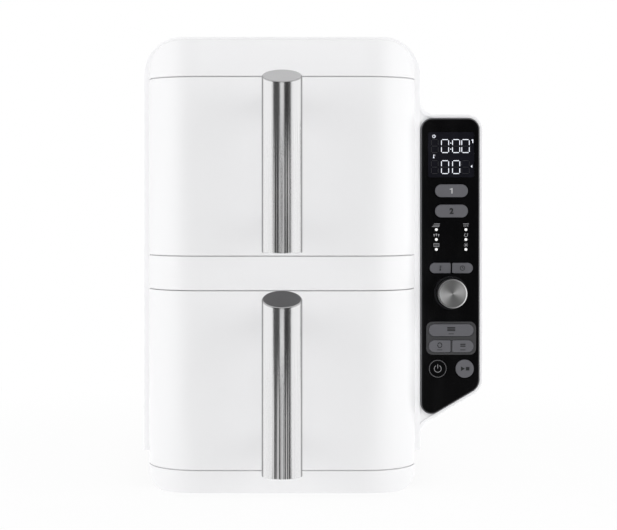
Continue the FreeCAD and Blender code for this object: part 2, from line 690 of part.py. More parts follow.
def make_front_frame():
    """Make the three white bands and the plate behind the drawer fronts."""
    body = new_body("front_frame")
    half = "front_width / 2"
    sketch = new_sketch(body, "XY", "front_bottom")
    add_rectangle(sketch, (f"-{half}", half), ("0", "frame_back"), FRONT_CORNERS)
    grow(body, sketch, "front_top - front_bottom")

    sketch = new_sketch(body, "XZ", "-1")
    add_rectangle(sketch, ("-front_width", "front_width"), ("-front_bottom", "front_top + front_bottom"))
    outline_radii = ("band_bottom_corner", "band_bottom_corner", "band_top_corner", "band_top_corner")
    reach = f"({half} + band_reach)"
    add_rectangle(sketch, (f"-{reach}", reach), ("front_bottom", "front_top"), outline_radii)
    cut_in(body, sketch, "frame_back + 2")

    sketch = new_sketch(body, "XZ", "-1")
    for bay in BAYS:
        levels = (f"{bay}_bay - bay_height / 2", f"{bay}_bay + bay_height / 2")
        add_rectangle(sketch, ("-front_width", "front_width"), levels)
    cut_in(body, sketch, "frame_face + 1")

    sketch = new_sketch(body, "XZ", "frame_face - 1")
    for bay in BAYS:
        levels = (f"{bay}_bay - opening_height / 2", f"{bay}_bay + opening_height / 2")
        add_rectangle(sketch, ("-opening_width / 2", "opening_width / 2"), levels, ("opening_corner",) * 4)
    cut_in(body, sketch, "frame_back - frame_face + 2")

    bands = [
        ("front_bottom", "lower_bay - bay_height / 2"),
        ("lower_bay + bay_height / 2", "upper_bay - bay_height / 2"),
        ("upper_bay + bay_height / 2", "front_top"),
    ]
    sketch = new_sketch(body, "XZ", "band_skin")
    for low, high in bands:
        levels = (f"{low} + panel_wall", f"{high} - panel_wall")
        add_rectangle(sketch, ("-band_hollow", "band_hollow"), levels)
    cut_in(body, sketch, "frame_back - band_skin + 1")

    drop = "band_top_corner - sqrt(band_top_corner^2 - (band_top_corner - band_reach)^2)"
    corner_end = f"front_top - ({drop})"

    def along_rim(edge):
        middle = edge.CenterOfMass
        level = on_planes(edge, z="front_top") and middle.y < value("band_skin")
        around_corner = edge.Curve.TypeId == "Part::GeomBSplineCurve" and middle.z > value("upper_bay")
        beside = any(on_planes(edge, x=side, z=corner_end) for side in (f"-{half}", half))
        return level or around_corner or beside

    seams = [f"{bay}_bay {sign} bay_height / 2" for bay in BAYS for sign in "+-"]

    def along_seam(edge):
        ahead = edge.CenterOfMass.y < value("frame_face") - 1
        return ahead and any(on_planes(edge, z=level) for level in seams)

    dress(body, "Fillet", along_rim, "band_edge")
    dress(body, "Fillet", along_seam, "seam_edge")
    place(body)


def make_base_tray():
    """Make the tray that closes the body below and carries the feet."""
    body = new_body("base_tray")
    sketch = new_sketch(body, "XY", "base_low")
    add_rectangle(sketch, ("-base_half", "base_half"), ("base_front", "base_back"), ("base_corner",) * 4)
    grow(body, sketch, "base_high - base_low")
    dress(body, "Fillet", lambda edge: on_planes(edge, z="base_low"), "base_edge")
    hollow(body, lambda face: on_planes(face, z="base_high"), "base_wall")

    sketch = new_sketch(body, "XY", "base_high - base_flange")
    add_rectangle(sketch, ("-base_flange_half", "base_flange_half"), ("base_front", "base_back"))
    inner = "base_half - base_wall"
    add_rectangle(sketch, (f"-({inner})", inner), ("base_front + base_wall", "base_back - base_wall"),
                  ("base_corner - base_wall",) * 4)
    grow(body, sketch, "base_flange")

    sketch = new_sketch(body, "XZ", "base_front - 1")
    reach = "cavity_width / 2 + front_room"
    notch = ("lower_bay - cavity_height / 2 - front_room", "base_high + 1")
    add_rectangle(sketch, (f"-({reach})", reach), notch)
    cut_in(body, sketch, "2 * base_corner")

    sketch = new_sketch(body, "XY", "base_low - 1")
    vent = ("base_vent", "base_vent + vent_width")
    add_rectangle(sketch, ("-vent_length / 2", "vent_length / 2"), vent)
    slot = cut_in(body, sketch, "base_wall + 2")
    repeat_along(body, slot, "Y_Axis", "2 * vent_pitch", "vent_rows")
    place(body)


def make_rubber_feet():
    """Make the four feet that stand on the counter."""
    feet = []
    for across in ("-foot_x", "foot_x"):
        for back in ("foot_front", "foot_back"):
            foot = doc.addObject("Part::Cone", "foot")
            foot.setExpression("Radius1", cells("foot_radius"))
            foot.setExpression("Radius2", cells("foot_top_radius"))
            foot.setExpression("Height", cells("base_low"))
            foot.setExpression("Placement.Base.x", cells(across))
            foot.setExpression("Placement.Base.y", cells(back))
            feet.append(foot)
    place(group("rubber_feet", feet))


def make_rear_cover():
    """Make the vented rear cover with its two wall spacers."""
    body = new_body("rear_cover")
    half = "shell_width / 2 - shell_wall - cover_room"
    corner = "shell_corner - shell_wall - cover_room"
    sketch = new_sketch(body, "XZ", "cover_front")
    add_rectangle(sketch, (f"-({half})", half), ("cover_low", "shell_top - shell_wall - cover_room"),
                  (None, None, corner, corner))
    grow(body, sketch, "shell_back - cover_front")

    sketch = new_sketch(body, "XZ", "cover_front")
    for sign in ("-", ""):
        edges = sorted((f"{sign}spacer_x - spacer_half", f"{sign}spacer_x + spacer_half"), key=value)
        add_rectangle(sketch, edges, ("spacer_low", "spacer_high"), ("spacer_half - 1",) * 4)
    grow(body, sketch, "body_back - cover_front")

    sketch = new_sketch(body, "XZ", "cover_front - 1")
    for bay in BAYS:
        low = f"{bay}_bay - vent_pitch * (vent_rows - 1) / 2 - vent_width / 2"
        levels = (low, f"{low} + vent_width")
        add_rectangle(sketch, ("-vent_length / 2", "vent_length / 2"), levels, ("vent_width * 0.45",) * 4)
    slots = cut_in(body, sketch, "shell_back - cover_front + 2")
    repeat_along(body, slots, "Z_Axis", "vent_pitch", "vent_rows")

    sketch = new_sketch(body, "XZ", "cover_front - 1")
    for sign in ("-", ""):
        for height in ("boss_low", "boss_high"):
            add_circle(sketch, f"{sign}boss_x", height, SCREW_HOLE)
    add_circle(sketch, "gland_x", "gland_z", "gland_radius + screw_room")
    cut_in(body, sketch, "shell_back - cover_front + 2")
    place(body)


def make_cord_gland():
    """Make the bush through which a mains cord would enter."""
    length = "body_back - gland_front"
    start = ("gland_x", "gland_front", "gland_z")
    neck = rod("gland_neck", "gland_radius", start, length)
    flange = rod("gland_disc", "gland_flange", ("gland_x", "shell_back", "gland_z"), "gland_flange_thick")
    bore = rod("gland_way", "gland_bore", start, length)
    place(subtract("cord_gland", join("gland_body", [neck, flange]), bore))


def make_housing_screws():
    """Make the four screws that hold the rear cover."""
    screws = []
    for sign in ("-", ""):
        for height in ("boss_low", "boss_high"):
            across = f"{sign}boss_x"
            start = "cover_front - boss_length + 3"
            shank = rod("cover_shank", "screw_radius", (across, start, height), f"shell_back + 1 - ({start})")
            head = rod("cover_head", "screw_head", (across, "shell_back", height), "2.4")
            screws.append(join("cover_screw", [shank, head]))
    place(group("housing_screws", screws))


# Cooking chambers, drawn about the mid height of their bay


def make_cavity(bay):
    """Make a sheet-steel chamber with its two drawer rails."""
    body = new_body(f"{bay}_cavity")
    half = "cavity_width / 2"
    sketch = new_sketch(body, "XZ", "frame_back")
    levels = ("-cavity_height / 2", "cavity_height / 2")
    add_rectangle(sketch, (f"-{half}", half), levels, ("cavity_corner",) * 4)
    grow(body, sketch, "cavity_back - frame_back")
    hollow(body, lambda face: on_planes(face, y="frame_back"), "cavity_wall")

    sketch = new_sketch(body, "XZ", "frame_back")
    wall = f"{half} - cavity_wall / 2"
    add_rectangle(sketch, ("rail_inset", wall), ("rail_low", "rail_high"))
    add_rectangle(sketch, (f"-({wall})", "-rail_inset"), ("rail_low", "rail_high"))
    grow(body, sketch, "rail_end - frame_back")

    sketch = new_sketch(body, "XZ", "cavity_back - 10")
    add_circle(sketch, "0", "0", "shaft_radius + 3")
    add_circle(sketch, "probe_x", "probe_z", "probe_radius + screw_room")
    add_rectangle(sketch, ("terminal_x - terminal_half", "terminal_x + terminal_half"),
                  ("terminal_z - terminal_half", "terminal_z + terminal_half"))
    cut_in(body, sketch, "12")
    place(body, f"{bay}_bay")


def make_fan_guard(bay):
    """Make the slotted guard that stands before the heating element and the fan."""
    body = new_body(f"{bay}_fan_guard")
    half = "cavity_width / 2 - cavity_wall - guard_room"
    tall = "cavity_height / 2 - cavity_wall - guard_room"
    sketch = new_sketch(body, "XZ", "guard_front")
    add_rectangle(sketch, (f"-({half})", half), (f"-({tall})", tall), ("cavity_corner",) * 4)
    grow(body, sketch, "guard_thick")

    sketch = new_sketch(body, "XZ", "guard_front")
    for side in ("-", ""):
        for level in ("-", ""):
            add_circle(sketch, f"{side}guard_leg_x", f"{level}guard_leg_z", "guard_leg")
    grow(body, sketch, "cavity_back - cavity_wall - guard_front")

    sketch = new_sketch(body, "XZ", "guard_front - 1")
    end = "guard_slot_half * 0.9"
    add_rectangle(sketch, ("guard_slot_inner", "guard_slot_outer"), ("-guard_slot_half", "guard_slot_half"),
                  (end,) * 4)
    slot = cut_in(body, sketch, "guard_thick + 2")
    repeat_round(body, slot, "guard_slots")
    place(body, f"{bay}_bay")


def make_heating_element(bay):
    """Make the tubular element: two loops with a return bend, and two terminals to the rear."""
    level = value("heater_y")
    bend = value("heater_bend")
    first = math.radians(value("heater_start"))
    last = first + math.radians(value("heater_sweep"))
    middle = (first + last) / 2

    def ring(angle, radius):
        return Vector(radius * math.cos(angle), level, radius * math.sin(angle))

    def tangent(angle):
        return Vector(-math.sin(angle), 0, math.cos(angle))

    outer = value("heater_outer")
    inner = value("heater_inner")
    rear = Vector(0, 1, 0)
    turn_middle = ring(last, (outer + inner) / 2) + tangent(last) * ((outer - inner) / 2)
    arcs = [
        Part.Arc(ring(first, outer), ring(middle, outer), ring(last, outer)),
        Part.Arc(ring(last, outer), turn_middle, ring(last, inner)),
        Part.Arc(ring(last, inner), ring(middle, inner), ring(first, inner)),
    ]
    terminals = []
    for radius in (outer, inner):
        foot = ring(first, radius)
        centre = foot + rear * bend
        top = centre - tangent(first) * bend
        knee = centre - (tangent(first) + rear) * (bend / math.sqrt(2))
        run = Part.LineSegment(Vector(top.x, value("heater_end"), top.z), top)
        terminals.append((run, Part.Arc(top, knee, foot)))
    path = Part.Wire(Part.__sortEdges__([
        curve.toShape() for curve in (*terminals[0], *arcs, *terminals[1])
    ]))
    start = path.OrderedVertexes[0].Point
    section = Part.Wire(Part.makeCircle(value("heater_tube"), start, rear))
    element = doc.addObject("Part::Feature", f"{bay}_heating_element")
    element.Shape = path.makePipeShell([section], True, False)
    place(element, f"{bay}_bay")


def make_fan(bay):
    """Make the impeller in the chamber, the shaft and the cooling fan behind the motor."""
    impeller = new_body(f"{bay}_fan_impeller")
    sketch = new_sketch(impeller, "XZ", "fan_front + fan_depth - fan_sheet")
    add_circle(sketch, "0", "0", "fan_radius")
    grow(impeller, sketch, "fan_sheet")
    sketch = new_sketch(impeller, "XZ", "fan_front")
    add_circle(sketch, "0", "0", "fan_hub")
    grow(impeller, sketch, "fan_depth")
    sketch = new_sketch(impeller, "XZ", "fan_front - 1")
    add_circle(sketch, "0", "0", "shaft_radius")
    cut_in(impeller, sketch, "fan_depth + 2")
    sketch = new_sketch(impeller, "XZ", "fan_front")
    add_rectangle(sketch, ("fan_hub * 2", "fan_radius - 1"), ("-fan_sheet / 2", "fan_sheet / 2"))
    blade = grow(impeller, sketch, "fan_depth")
    repeat_round(impeller, blade, "fan_blades")
    place(impeller, f"{bay}_bay")

    shaft = rod(f"{bay}_spindle", "shaft_radius", ("0", "shaft_front", "0"), "shaft_back - shaft_front")
    place(group(f"{bay}_fan_shaft", [shaft]), f"{bay}_bay")

    cooler = new_body(f"{bay}_cooling_fan")
    sketch = new_sketch(cooler, "XZ", "cooler_front")
    add_circle(sketch, "0", "0", "cooler_hub")
    grow(cooler, sketch, "cooler_back - cooler_front")
    sketch = new_sketch(cooler, "XZ", "cooler_front - 1")
    add_circle(sketch, "0", "0", "shaft_radius")
    cut_in(cooler, sketch, "cooler_back - cooler_front + 2")
    sketch = new_sketch(cooler, "YZ", "cooler_hub - 2")
    pitch = "(cooler_back - cooler_front) / 2"
    blade_section = [
        ("cooler_front", f"-{pitch}"),
        ("cooler_front + fan_sheet * 1.5", f"-{pitch}"),
        ("cooler_back", pitch),
        ("cooler_back - fan_sheet * 1.5", pitch),
    ]
    add_polygon(sketch, blade_section)
    blade = grow(cooler, sketch, "cooler_radius - cooler_hub + 2")
    repeat_round(cooler, blade, "cooler_blades")
    place(cooler, f"{bay}_bay")


def make_fan_motor(bay):
    """Make the motor on its plate behind the chamber."""
    across = ("-motor_plate_half", "motor_plate_half")
    up = ("-motor_plate_tall", "motor_plate_tall")
    plate = block(f"{bay}_motor_plate", across, ("cavity_back", "motor_front"), up)
    can = rod(f"{bay}_motor_can", "motor_radius", ("0", "motor_front", "0"), "motor_back - motor_front")
    boss = rod(f"{bay}_motor_boss", "motor_boss", ("0", "motor_back", "0"), "motor_boss_back - motor_back")
    bore = rod(f"{bay}_motor_bore", "shaft_radius + shaft_fit", ("0", "cavity_back - 1", "0"),
               "motor_boss_back - cavity_back + 2")
    body = join(f"{bay}_motor_body", [plate, can, boss])
    place(subtract(f"{bay}_fan_motor", body, bore), f"{bay}_bay")


def make_temperature_probes():
    """Make the two probes that reach through the rear walls of the chambers."""
    probes = [
        rod(f"{bay}_probe", "probe_radius", ("probe_x", "probe_front", f"{bay}_bay + probe_z"),
            "probe_back - probe_front")
        for bay in BAYS
    ]
    place(group("temperature_probes", probes))


# Drawers, drawn about the mid height of their bay


def make_drawer_front(bay):
    """Make the white hollow front of a drawer, with the two holes of the handle screws."""
    body = new_body(f"{bay}_drawer_front")
    half = "front_width / 2"
    low = "seam - bay_height / 2"
    sketch = new_sketch(body, "XY", low)
    add_rectangle(sketch, (f"-{half}", half), ("0", "panel_back"), FRONT_CORNERS)
    grow(body, sketch, "bay_height - 2 * seam")
    hollow(body, lambda face: on_planes(face, y="panel_back"), "panel_wall")
    levels = (low, "bay_height / 2 - seam")

    def along_seam(edge):
        ahead = edge.CenterOfMass.y < value("panel_back") - 1
        return ahead and any(on_planes(edge, z=level) for level in levels)

    dress(body, "Fillet", along_seam, "seam_edge")
    sketch = new_sketch(body, "XZ", "-1")
    for sign in ("-", ""):
        add_circle(sketch, "0", f"{sign}post_offset", SCREW_HOLE)
    cut_in(body, sketch, "panel_wall + 2")
    place(body, f"{bay}_bay")


def make_drawer_liner(bay):
    """Make the plate that closes the drawer front at the rear and carries the basket."""
    body = new_body(f"{bay}_drawer_liner")
    half = "front_width / 2 - panel_wall - liner_room"
    tall = "bay_height / 2 - seam - panel_wall - liner_room"
    sketch = new_sketch(body, "XZ", "liner_front")
    add_rectangle(sketch, (f"-({half})", half), (f"-({tall})", tall), ("2",) * 4)
    grow(body, sketch, "liner_back - liner_front")
    place(body, f"{bay}_bay")


def make_drawer_seal(bay):
    """Make the soft ring that meets the frame plate around its opening."""
    body = new_body(f"{bay}_drawer_seal")
    half = "opening_width / 2 + 1"
    tall = "opening_height / 2 + 1"
    sketch = new_sketch(body, "XZ", "liner_back")
    for grown in ("seal_width", "0"):
        reach = f"{half} + {grown}"
        height = f"{tall} + {grown}"
        corner = f"opening_corner + {grown}"
        add_rectangle(sketch, (f"-({reach})", reach), (f"-({height})", height), (corner,) * 4)
    grow(body, sketch, "seal_back - liner_back")
    place(body, f"{bay}_bay")


def make_basket(bay):
    """Make the coated basket with its rim and the air opening in its rear wall."""
    body = new_body(f"{bay}_basket")
    half = "basket_width / 2"
    sketch = new_sketch(body, "XY", "basket_low")
    add_rectangle(sketch, (f"-{half}", half), ("liner_back", "basket_back"), ("basket_corner",) * 4)
    grow(body, sketch, "basket_high - basket_low")
    dress(body, "Fillet", lambda edge: on_planes(edge, z="basket_low"), "basket_foot")
    hollow(body, lambda face: on_planes(face, z="basket_high"), "basket_wall")

    rim = "(rim_width - basket_width) / 2"
    sketch = new_sketch(body, "XY", "basket_high - rim_thick")
    add_rectangle(sketch, ("-rim_width / 2", "rim_width / 2"), ("liner_back", f"basket_back + {rim}"),
                  (None, None, f"basket_corner + {rim}", f"basket_corner + {rim}"))
    add_rectangle(sketch, (f"basket_wall / 2 - {half}", f"{half} - basket_wall / 2"),
                  ("liner_back + basket_wall / 2", "basket_back - basket_wall / 2"),
                  ("basket_corner - basket_wall / 2",) * 4)
    grow(body, sketch, "rim_thick")

    sketch = new_sketch(body, "XZ", "basket_back - 10")
    levels = ("airway_low", "basket_high - airway_corner")
    add_rectangle(sketch, ("-airway_width / 2", "airway_width / 2"), levels, ("airway_corner",) * 4)
    cut_in(body, sketch, "30")
    place(body, f"{bay}_bay")


def make_crisper_plate(bay):
    """Make the slotted plate and the four rubber feet that it stands on."""
    body = new_body(f"{bay}_crisper_plate")
    sketch = new_sketch(body, "XY", "plate_low")
    add_rectangle(sketch, ("-plate_width / 2", "plate_width / 2"), ("plate_front", "plate_back"),
                  ("plate_corner",) * 4)
    grow(body, sketch, "plate_thick")
    sketch = new_sketch(body, "XY", "plate_low - 1")
    start = "(plate_front + plate_back) / 2 - plate_slot_pitch * (plate_rows - 1) / 2"
    end = "plate_slot_width * 0.45"
    for column in (-1.5, -0.5, 0.5, 1.5):
        middle = f"{column} * (plate_slot_length + 8)"
        add_rectangle(sketch, (f"{middle} - plate_slot_length / 2", f"{middle} + plate_slot_length / 2"),
                      (f"{start} - plate_slot_width / 2", f"{start} + plate_slot_width / 2"), (end,) * 4)
    slots = cut_in(body, sketch, "plate_thick + 2")
    repeat_along(body, slots, "Y_Axis", "plate_slot_pitch", "plate_rows")
    place(body, f"{bay}_bay")

    floor = "basket_low + basket_wall + bumper_gap"
    inset = "plate_width / 2 - plate_corner / 2 - 1"
    bumpers = [
        rod("bumper", "bumper_radius", (f"{sign}({inset})", back, floor), f"plate_low - ({floor})", "z")
        for sign in ("-", "")
        for back in ("plate_front + plate_corner / 2 + 1", "plate_back - plate_corner / 2 - 1")
    ]
    place(group(f"{bay}_plate_bumpers", bumpers), f"{bay}_bay")


def make_rack(bay):
    """Make the wire rack: two side wires bent down into legs, and the cross wires on top of them."""
    front = value("rack_front")
    back = value("rack_back")
    top = value("rack_top")
    bend = value("rack_bend")
    low = value("plate_low + plate_thick + bumper_gap")
    slack = bend * (1 - math.sqrt(0.5))
    side_wires = []
    for sign in (-1, 1):
        across = sign * value("rack_half")
        path = [
            Part.LineSegment(Vector(across, front, low), Vector(across, front, top - bend)),
            Part.Arc(Vector(across, front, top - bend), Vector(across, front + slack, top - slack),
                     Vector(across, front + bend, top)),
            Part.LineSegment(Vector(across, front + bend, top), Vector(across, back - bend, top)),
            Part.Arc(Vector(across, back - bend, top), Vector(across, back - slack, top - slack),
                     Vector(across, back, top - bend)),
            Part.LineSegment(Vector(across, back, top - bend), Vector(across, back, low)),
        ]
        spine = Part.Wire([curve.toShape() for curve in path])
        foot = Vector(across, front, low)
        section = Part.Wire(Part.makeCircle(value("rack_side_wire"), foot, Vector(0, 0, 1)))
        wire = doc.addObject("Part::Feature", f"{bay}_rack_side")
        wire.Shape = spine.makePipeShell([section], True, False)
        side_wires.append(wire)
    reach = "rack_half + rack_side_wire + rack_overhang"
    pitch = "(rack_back - rack_front - 2 * rack_bend - 4 * rack_wire) / (rack_wires - 1)"
    height = "rack_top + rack_side_wire + rack_wire"
    cross_wires = []
    for number in range(int(value("rack_wires"))):
        start = (f"-({reach})", f"rack_front + rack_bend + 2 * rack_wire + {number} * {pitch}", height)
        cross_wires.append(rod(f"{bay}_rack_wire", "rack_wire", start, f"2 * ({reach})", "x"))
    place(group(f"{bay}_rack", side_wires + cross_wires), f"{bay}_bay")


def make_handle(bay):
    """Make the bar handle: steel sleeve, slanted cap, inner core with two posts, and two screws."""
    bottom = "handle_low - bay_height / 2"
    length = "bay_height + handle_rise - handle_low"
    posts = [
        (f"{sign}post_offset - post_height / 2", f"{sign}post_offset + post_height / 2")
        for sign in ("-", "")
    ]

    sleeve = new_body(f"{bay}_handle_sleeve")
    sketch = new_sketch(sleeve, "XY", bottom)
    add_circle(sketch, "0", "handle_axis", "handle_radius")
    grow(sleeve, sketch, length)
    dress(sleeve, "Fillet", lambda edge: on_planes(edge, z=bottom), "handle_foot_edge")
    slanted_top(sleeve, "cap_thick")
    sketch = new_sketch(sleeve, "XY", f"{bottom} - 1")
    add_circle(sketch, "0", "handle_axis", "handle_radius - handle_wall")
    cut_in(sleeve, sketch, f"{length} + 2")
    sketch = new_sketch(sleeve, "XZ", "handle_axis")
    half = "post_width / 2 + core_room"
    for low, high in posts:
        add_rectangle(sketch, (f"-({half})", half), (f"{low} - core_room", f"{high} + core_room"),
                      ("post_corner + core_room",) * 4)
    cut_in(sleeve, sketch, "handle_radius + 1")
    place(sleeve, f"{bay}_bay")

    cap = new_body(f"{bay}_handle_cap")
    sketch = new_sketch(cap, "XY", bottom)
    add_circle(sketch, "0", "handle_axis", "handle_radius")
    grow(cap, sketch, f"{length} + 1")
    slanted_top(cap, "0")
    slanted_top(cap, "cap_thick", keep_below=False)
    highest = max(edge.CenterOfMass.z for edge in cap.Shape.Edges if edge.isClosed())
    dress(cap, "Fillet", lambda edge: abs(edge.CenterOfMass.z - highest) < TOLERANCE, "handle_edge")
    place(cap, f"{bay}_bay")

    core = new_body(f"{bay}_handle_core")
    sketch = new_sketch(core, "XY", f"{bottom} + 1.5")
    add_circle(sketch, "0", "handle_axis", "handle_radius - handle_wall - core_room")
    grow(core, sketch, f"{length} - 1.5")
    slanted_top(core, "cap_thick + core_room")
    sketch = new_sketch(core, "XZ", "handle_axis")
    for low, high in posts:
        add_rectangle(sketch, ("-post_width / 2", "post_width / 2"), (low, high), ("post_corner",) * 4)
    grow(core, sketch, "-handle_axis")
    sketch = new_sketch(core, "XZ", "handle_axis / 2")
    for sign in ("-", ""):
        add_circle(sketch, "0", f"{sign}post_offset", SCREW_HOLE)
    cut_in(core, sketch, "1 - handle_axis / 2")
    place(core, f"{bay}_bay")

    screws = []
    for sign in ("-", ""):
        height = f"{sign}post_offset"
        shank = rod("handle_shank", "screw_radius", ("0", "handle_axis / 2 + 3", height),
                    "panel_wall + 1 - (handle_axis / 2 + 3)")
        head = rod("handle_head", "screw_head", ("0", "panel_wall", height), "2.6")
        screws.append(join("handle_screw", [shank, head]))
    place(group(f"{bay}_handle_screws", screws), f"{bay}_bay")


# Control panel


def key_outline(name, grown="0"):
    """Return the sides and corner radii of a key, grown all round."""
    across, up, width, height, round_left, round_right = KEYS[name]
    sides = (f"{across - width / 2} - ({grown})", f"{across + width / 2} + ({grown})")
    levels = (f"{up - height / 2} - ({grown})", f"{up + height / 2} + ({grown})")
    left = f"{height * (ROUND_END if round_left else SQUARE_END)} + ({grown}) * 0.9"
    right = f"{height * (ROUND_END if round_right else SQUARE_END)} + ({grown}) * 0.9"
    return sides, levels, (left, right, right, left)


def light_places():
    """Return the centres of the six function lights."""
    columns = ("light_left", "light_right")
    return [(column, f"light_top - {row} * light_pitch") for row in range(3) for column in columns]


def make_control_fascia():
    """Make the black front of the control wing, with its window, holes and dial collar."""
    body = new_body("control_fascia")
    corners = panel_corners("shell_wall + fascia_room", "fascia_left")
    sketch = new_sketch(body, "XZ", "fascia_front")
    add_polygon(sketch, corners)
    grow(body, sketch, "fascia_back - fascia_front")
    dress(body, "Fillet", either(corner_edge(corners[0]), corner_edge(corners[3])), "fascia_corner")
    dress(body, "Fillet", corner_edge(corners[2]), "fascia_knee_corner")
    dress(body, "Fillet", corner_edge(corners[1]), "fascia_low_corner")
    dress(body, "Fillet", lambda edge: on_planes(edge, y="fascia_front"), "fascia_edge")

    sketch = new_sketch(body, "XZ", "fascia_front - collar_height")
    add_circle(sketch, "dial_x", "dial_z", "collar_outer")
    add_circle(sketch, "dial_x", "dial_z", "collar_inner")
    grow(body, sketch, "collar_height + 1")

    sketch = new_sketch(body, "XZ", "fascia_front - 1")
    add_rectangle(sketch, ("window_x - window_width / 2", "window_x + window_width / 2"),
                  ("window_z - window_height / 2", "window_z + window_height / 2"), ("window_corner",) * 4)
    for name in KEYS:
        add_rectangle(sketch, *key_outline(name, "key_room"))
    add_circle(sketch, "dial_x", "dial_z", "bush_radius + key_room")
    for across, up in light_places():
        add_circle(sketch, across, up, "light_radius + screw_room")
    cut_in(body, sketch, "fascia_back - fascia_front + 2")
    place(body)


def make_display_module():
    """Make the display that fills the window, with its wider frame behind the fascia."""
    body = new_body("display_module")
    for start, end, grown in (("fascia_front + window_depth", "fascia_back + 1", "-0.2"),
                              ("fascia_back + 0.3", "board_front - 0.4", "1")):
        half = f"window_width / 2 + ({grown})"
        tall = f"window_height / 2 + ({grown})"
        sketch = new_sketch(body, "XZ", start)
        add_rectangle(sketch, (f"window_x - ({half})", f"window_x + {half}"),
                      (f"window_z - ({tall})", f"window_z + {tall}"), ("window_corner",) * 4)
        grow(body, sketch, f"{end} - ({start})")
    place(body)


def make_key(name):
    """Make a key with a retaining flange above and below it."""
    body = new_body(name)
    sides, levels, radii = key_outline(name)
    front = "fascia_front - key_proud"
    sketch = new_sketch(body, "XZ", front)
    add_rectangle(sketch, sides, levels, radii)
    grow(body, sketch, f"key_back - ({front})")
    dress(body, "Fillet", lambda edge: on_planes(edge, y=front), "key_edge")
    sketch = new_sketch(body, "XZ", "key_flange_front")
    flange_levels = (f"{levels[0]} - key_flange", f"{levels[1]} + key_flange")
    add_rectangle(sketch, (f"{sides[0]} + 3", f"{sides[1]} - 3"), flange_levels)
    grow(body, sketch, "key_back - key_flange_front")
    place(body)


def make_dial():
    """Make the dial with its spindle, and the encoder that holds the spindle."""
    dial = new_body("dial")
    sketch = new_sketch(dial, "XZ", "dial_front")
    add_circle(sketch, "dial_x", "dial_z", "dial_radius")
    grow(dial, sketch, "dial_base - dial_front")
    dress(dial, "Chamfer", lambda edge: on_planes(edge, y="dial_front"), "dial_edge")
    sketch = new_sketch(dial, "XZ", "dial_base - 1")
    add_circle(sketch, "dial_x", "dial_z", "spindle_radius")
    grow(dial, sketch, "spindle_end - dial_base + 1")
    place(dial)

    case = block("encoder_case", ("dial_x - encoder_half", "dial_x + encoder_half"),
                 ("encoder_front", "board_front"), ("dial_z - encoder_half", "dial_z + encoder_half"))
    bush = rod("encoder_bush", "bush_radius", ("dial_x", "fascia_front + 0.3", "dial_z"),
               "encoder_front - fascia_front")
    bore = rod("encoder_bore", "spindle_radius + spindle_fit", ("dial_x", "fascia_front - 1", "dial_z"),
               "spindle_end - fascia_front + 1.6")
    place(subtract("dial_encoder", join("encoder_body", [case, bush]), bore))


def make_function_lights():
    """Make the six light guides of the cooking functions."""
    front = "fascia_front - 0.1"
    guides = [
        rod("light_guide", "light_radius", (across, front, up), f"board_front - 0.3 - ({front})")
        for across, up in light_places()
    ]
    place(group("function_lights", guides))


def make_control_board():
    """Make the circuit board behind the fascia, with a switch behind each key."""
    body = new_body("control_board")
    inset = "shell_wall + fascia_room + board_margin"
    sketch = new_sketch(body, "XZ", "board_front")
    add_polygon(sketch, panel_corners(inset, "fascia_left + board_margin"))
    grow(body, sketch, "board_thick")
    sketch = new_sketch(body, "XZ", "switch_front")
    for across, up, *shape in KEYS.values():
        add_rectangle(sketch, (f"{across} - switch_half", f"{across} + switch_half"),
                      (f"{up} - switch_half", f"{up} + switch_half"))
    grow(body, sketch, "board_front - switch_front + 0.5")
    place(body)


def make_power_board():
    """Make the power board above the upper chamber, on four posts, with its larger components."""
    top = "power_low + board_thick"
    across = ("power_left", "power_right")
    board = block("power_sheet", across, ("power_front", "power_back"), ("power_low", top))
    floor = "upper_bay + cavity_height / 2"
    posts = [
        rod("power_post", "3", (across, back, floor), f"power_low - ({floor}) + 0.5", "z")
        for across in ("power_left + 6", "power_right - 6")
        for back in ("power_front + 6", "power_back - 6")
    ]
    seat = f"{top} - 0.5"
    transformer = block("transformer", ("power_left + 12", "power_left + 46"),
                        ("power_front + 20", "power_front + 52"), (seat, f"{top} + 22"))
    relays = [
        block("relay", ("power_right - 44", "power_right - 16"),
              (f"power_front + {start}", f"power_front + {start} + 13"), (seat, f"{top} + 15"))
        for start in (18, 40)
    ]
    capacitor = rod("capacitor", "8", ("power_left + 66", "power_front + 70", f"{top} - 0.5"), "20", "z")
    place(join("power_board", [board, transformer, capacitor, *posts, *relays]))


def check_document():
    """Stop if any object failed or any sub-part has no sound shape."""
    doc.recompute()
    failed = [item.Name for item in doc.Objects if {"Invalid", "Error"} & set(item.State)]
    unsound = [piece.Label for piece in subparts if piece.Shape.isNull() or not piece.Shape.isValid()]
    if failed or unsound:
        raise RuntimeError(f"failed objects {failed}, unsound sub-parts {unsound}")


def write_parts():
    """Write each sub-part to its own file."""
    os.makedirs("parts", exist_ok=True)
    for piece in subparts:
        piece.Shape.exportStep(f"parts/{piece.Label}.step")


make_outer_shell()
make_front_frame()
make_base_tray()
make_rubber_feet()
make_rear_cover()
make_cord_gland()
make_housing_screws()
make_temperature_probes()
for bay in BAYS:
    make_cavity(bay)
    make_fan_guard(bay)
    make_heating_element(bay)
    make_fan(bay)
    make_fan_motor(bay)
    make_drawer_front(bay)
    make_drawer_liner(bay)
    make_drawer_seal(bay)
    make_basket(bay)
    make_crisper_plate(bay)
    make_rack(bay)
    make_handle(bay)
make_control_fascia()
make_display_module()
make_function_lights()
make_dial()
make_control_board()
make_power_board()
for name in KEYS:
    make_key(name)
check_document()
write_parts()
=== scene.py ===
"""Looks of the stacked two-drawer air fryer: finishes, panel marks, stage, light and camera.

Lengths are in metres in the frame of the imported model, unless a name ends in mm or px.
Strokes of signs count in units of their sign.
"""

import json
import logging
import math
from dataclasses import dataclass, field
from enum import Enum
from typing import Any, Callable, Sequence

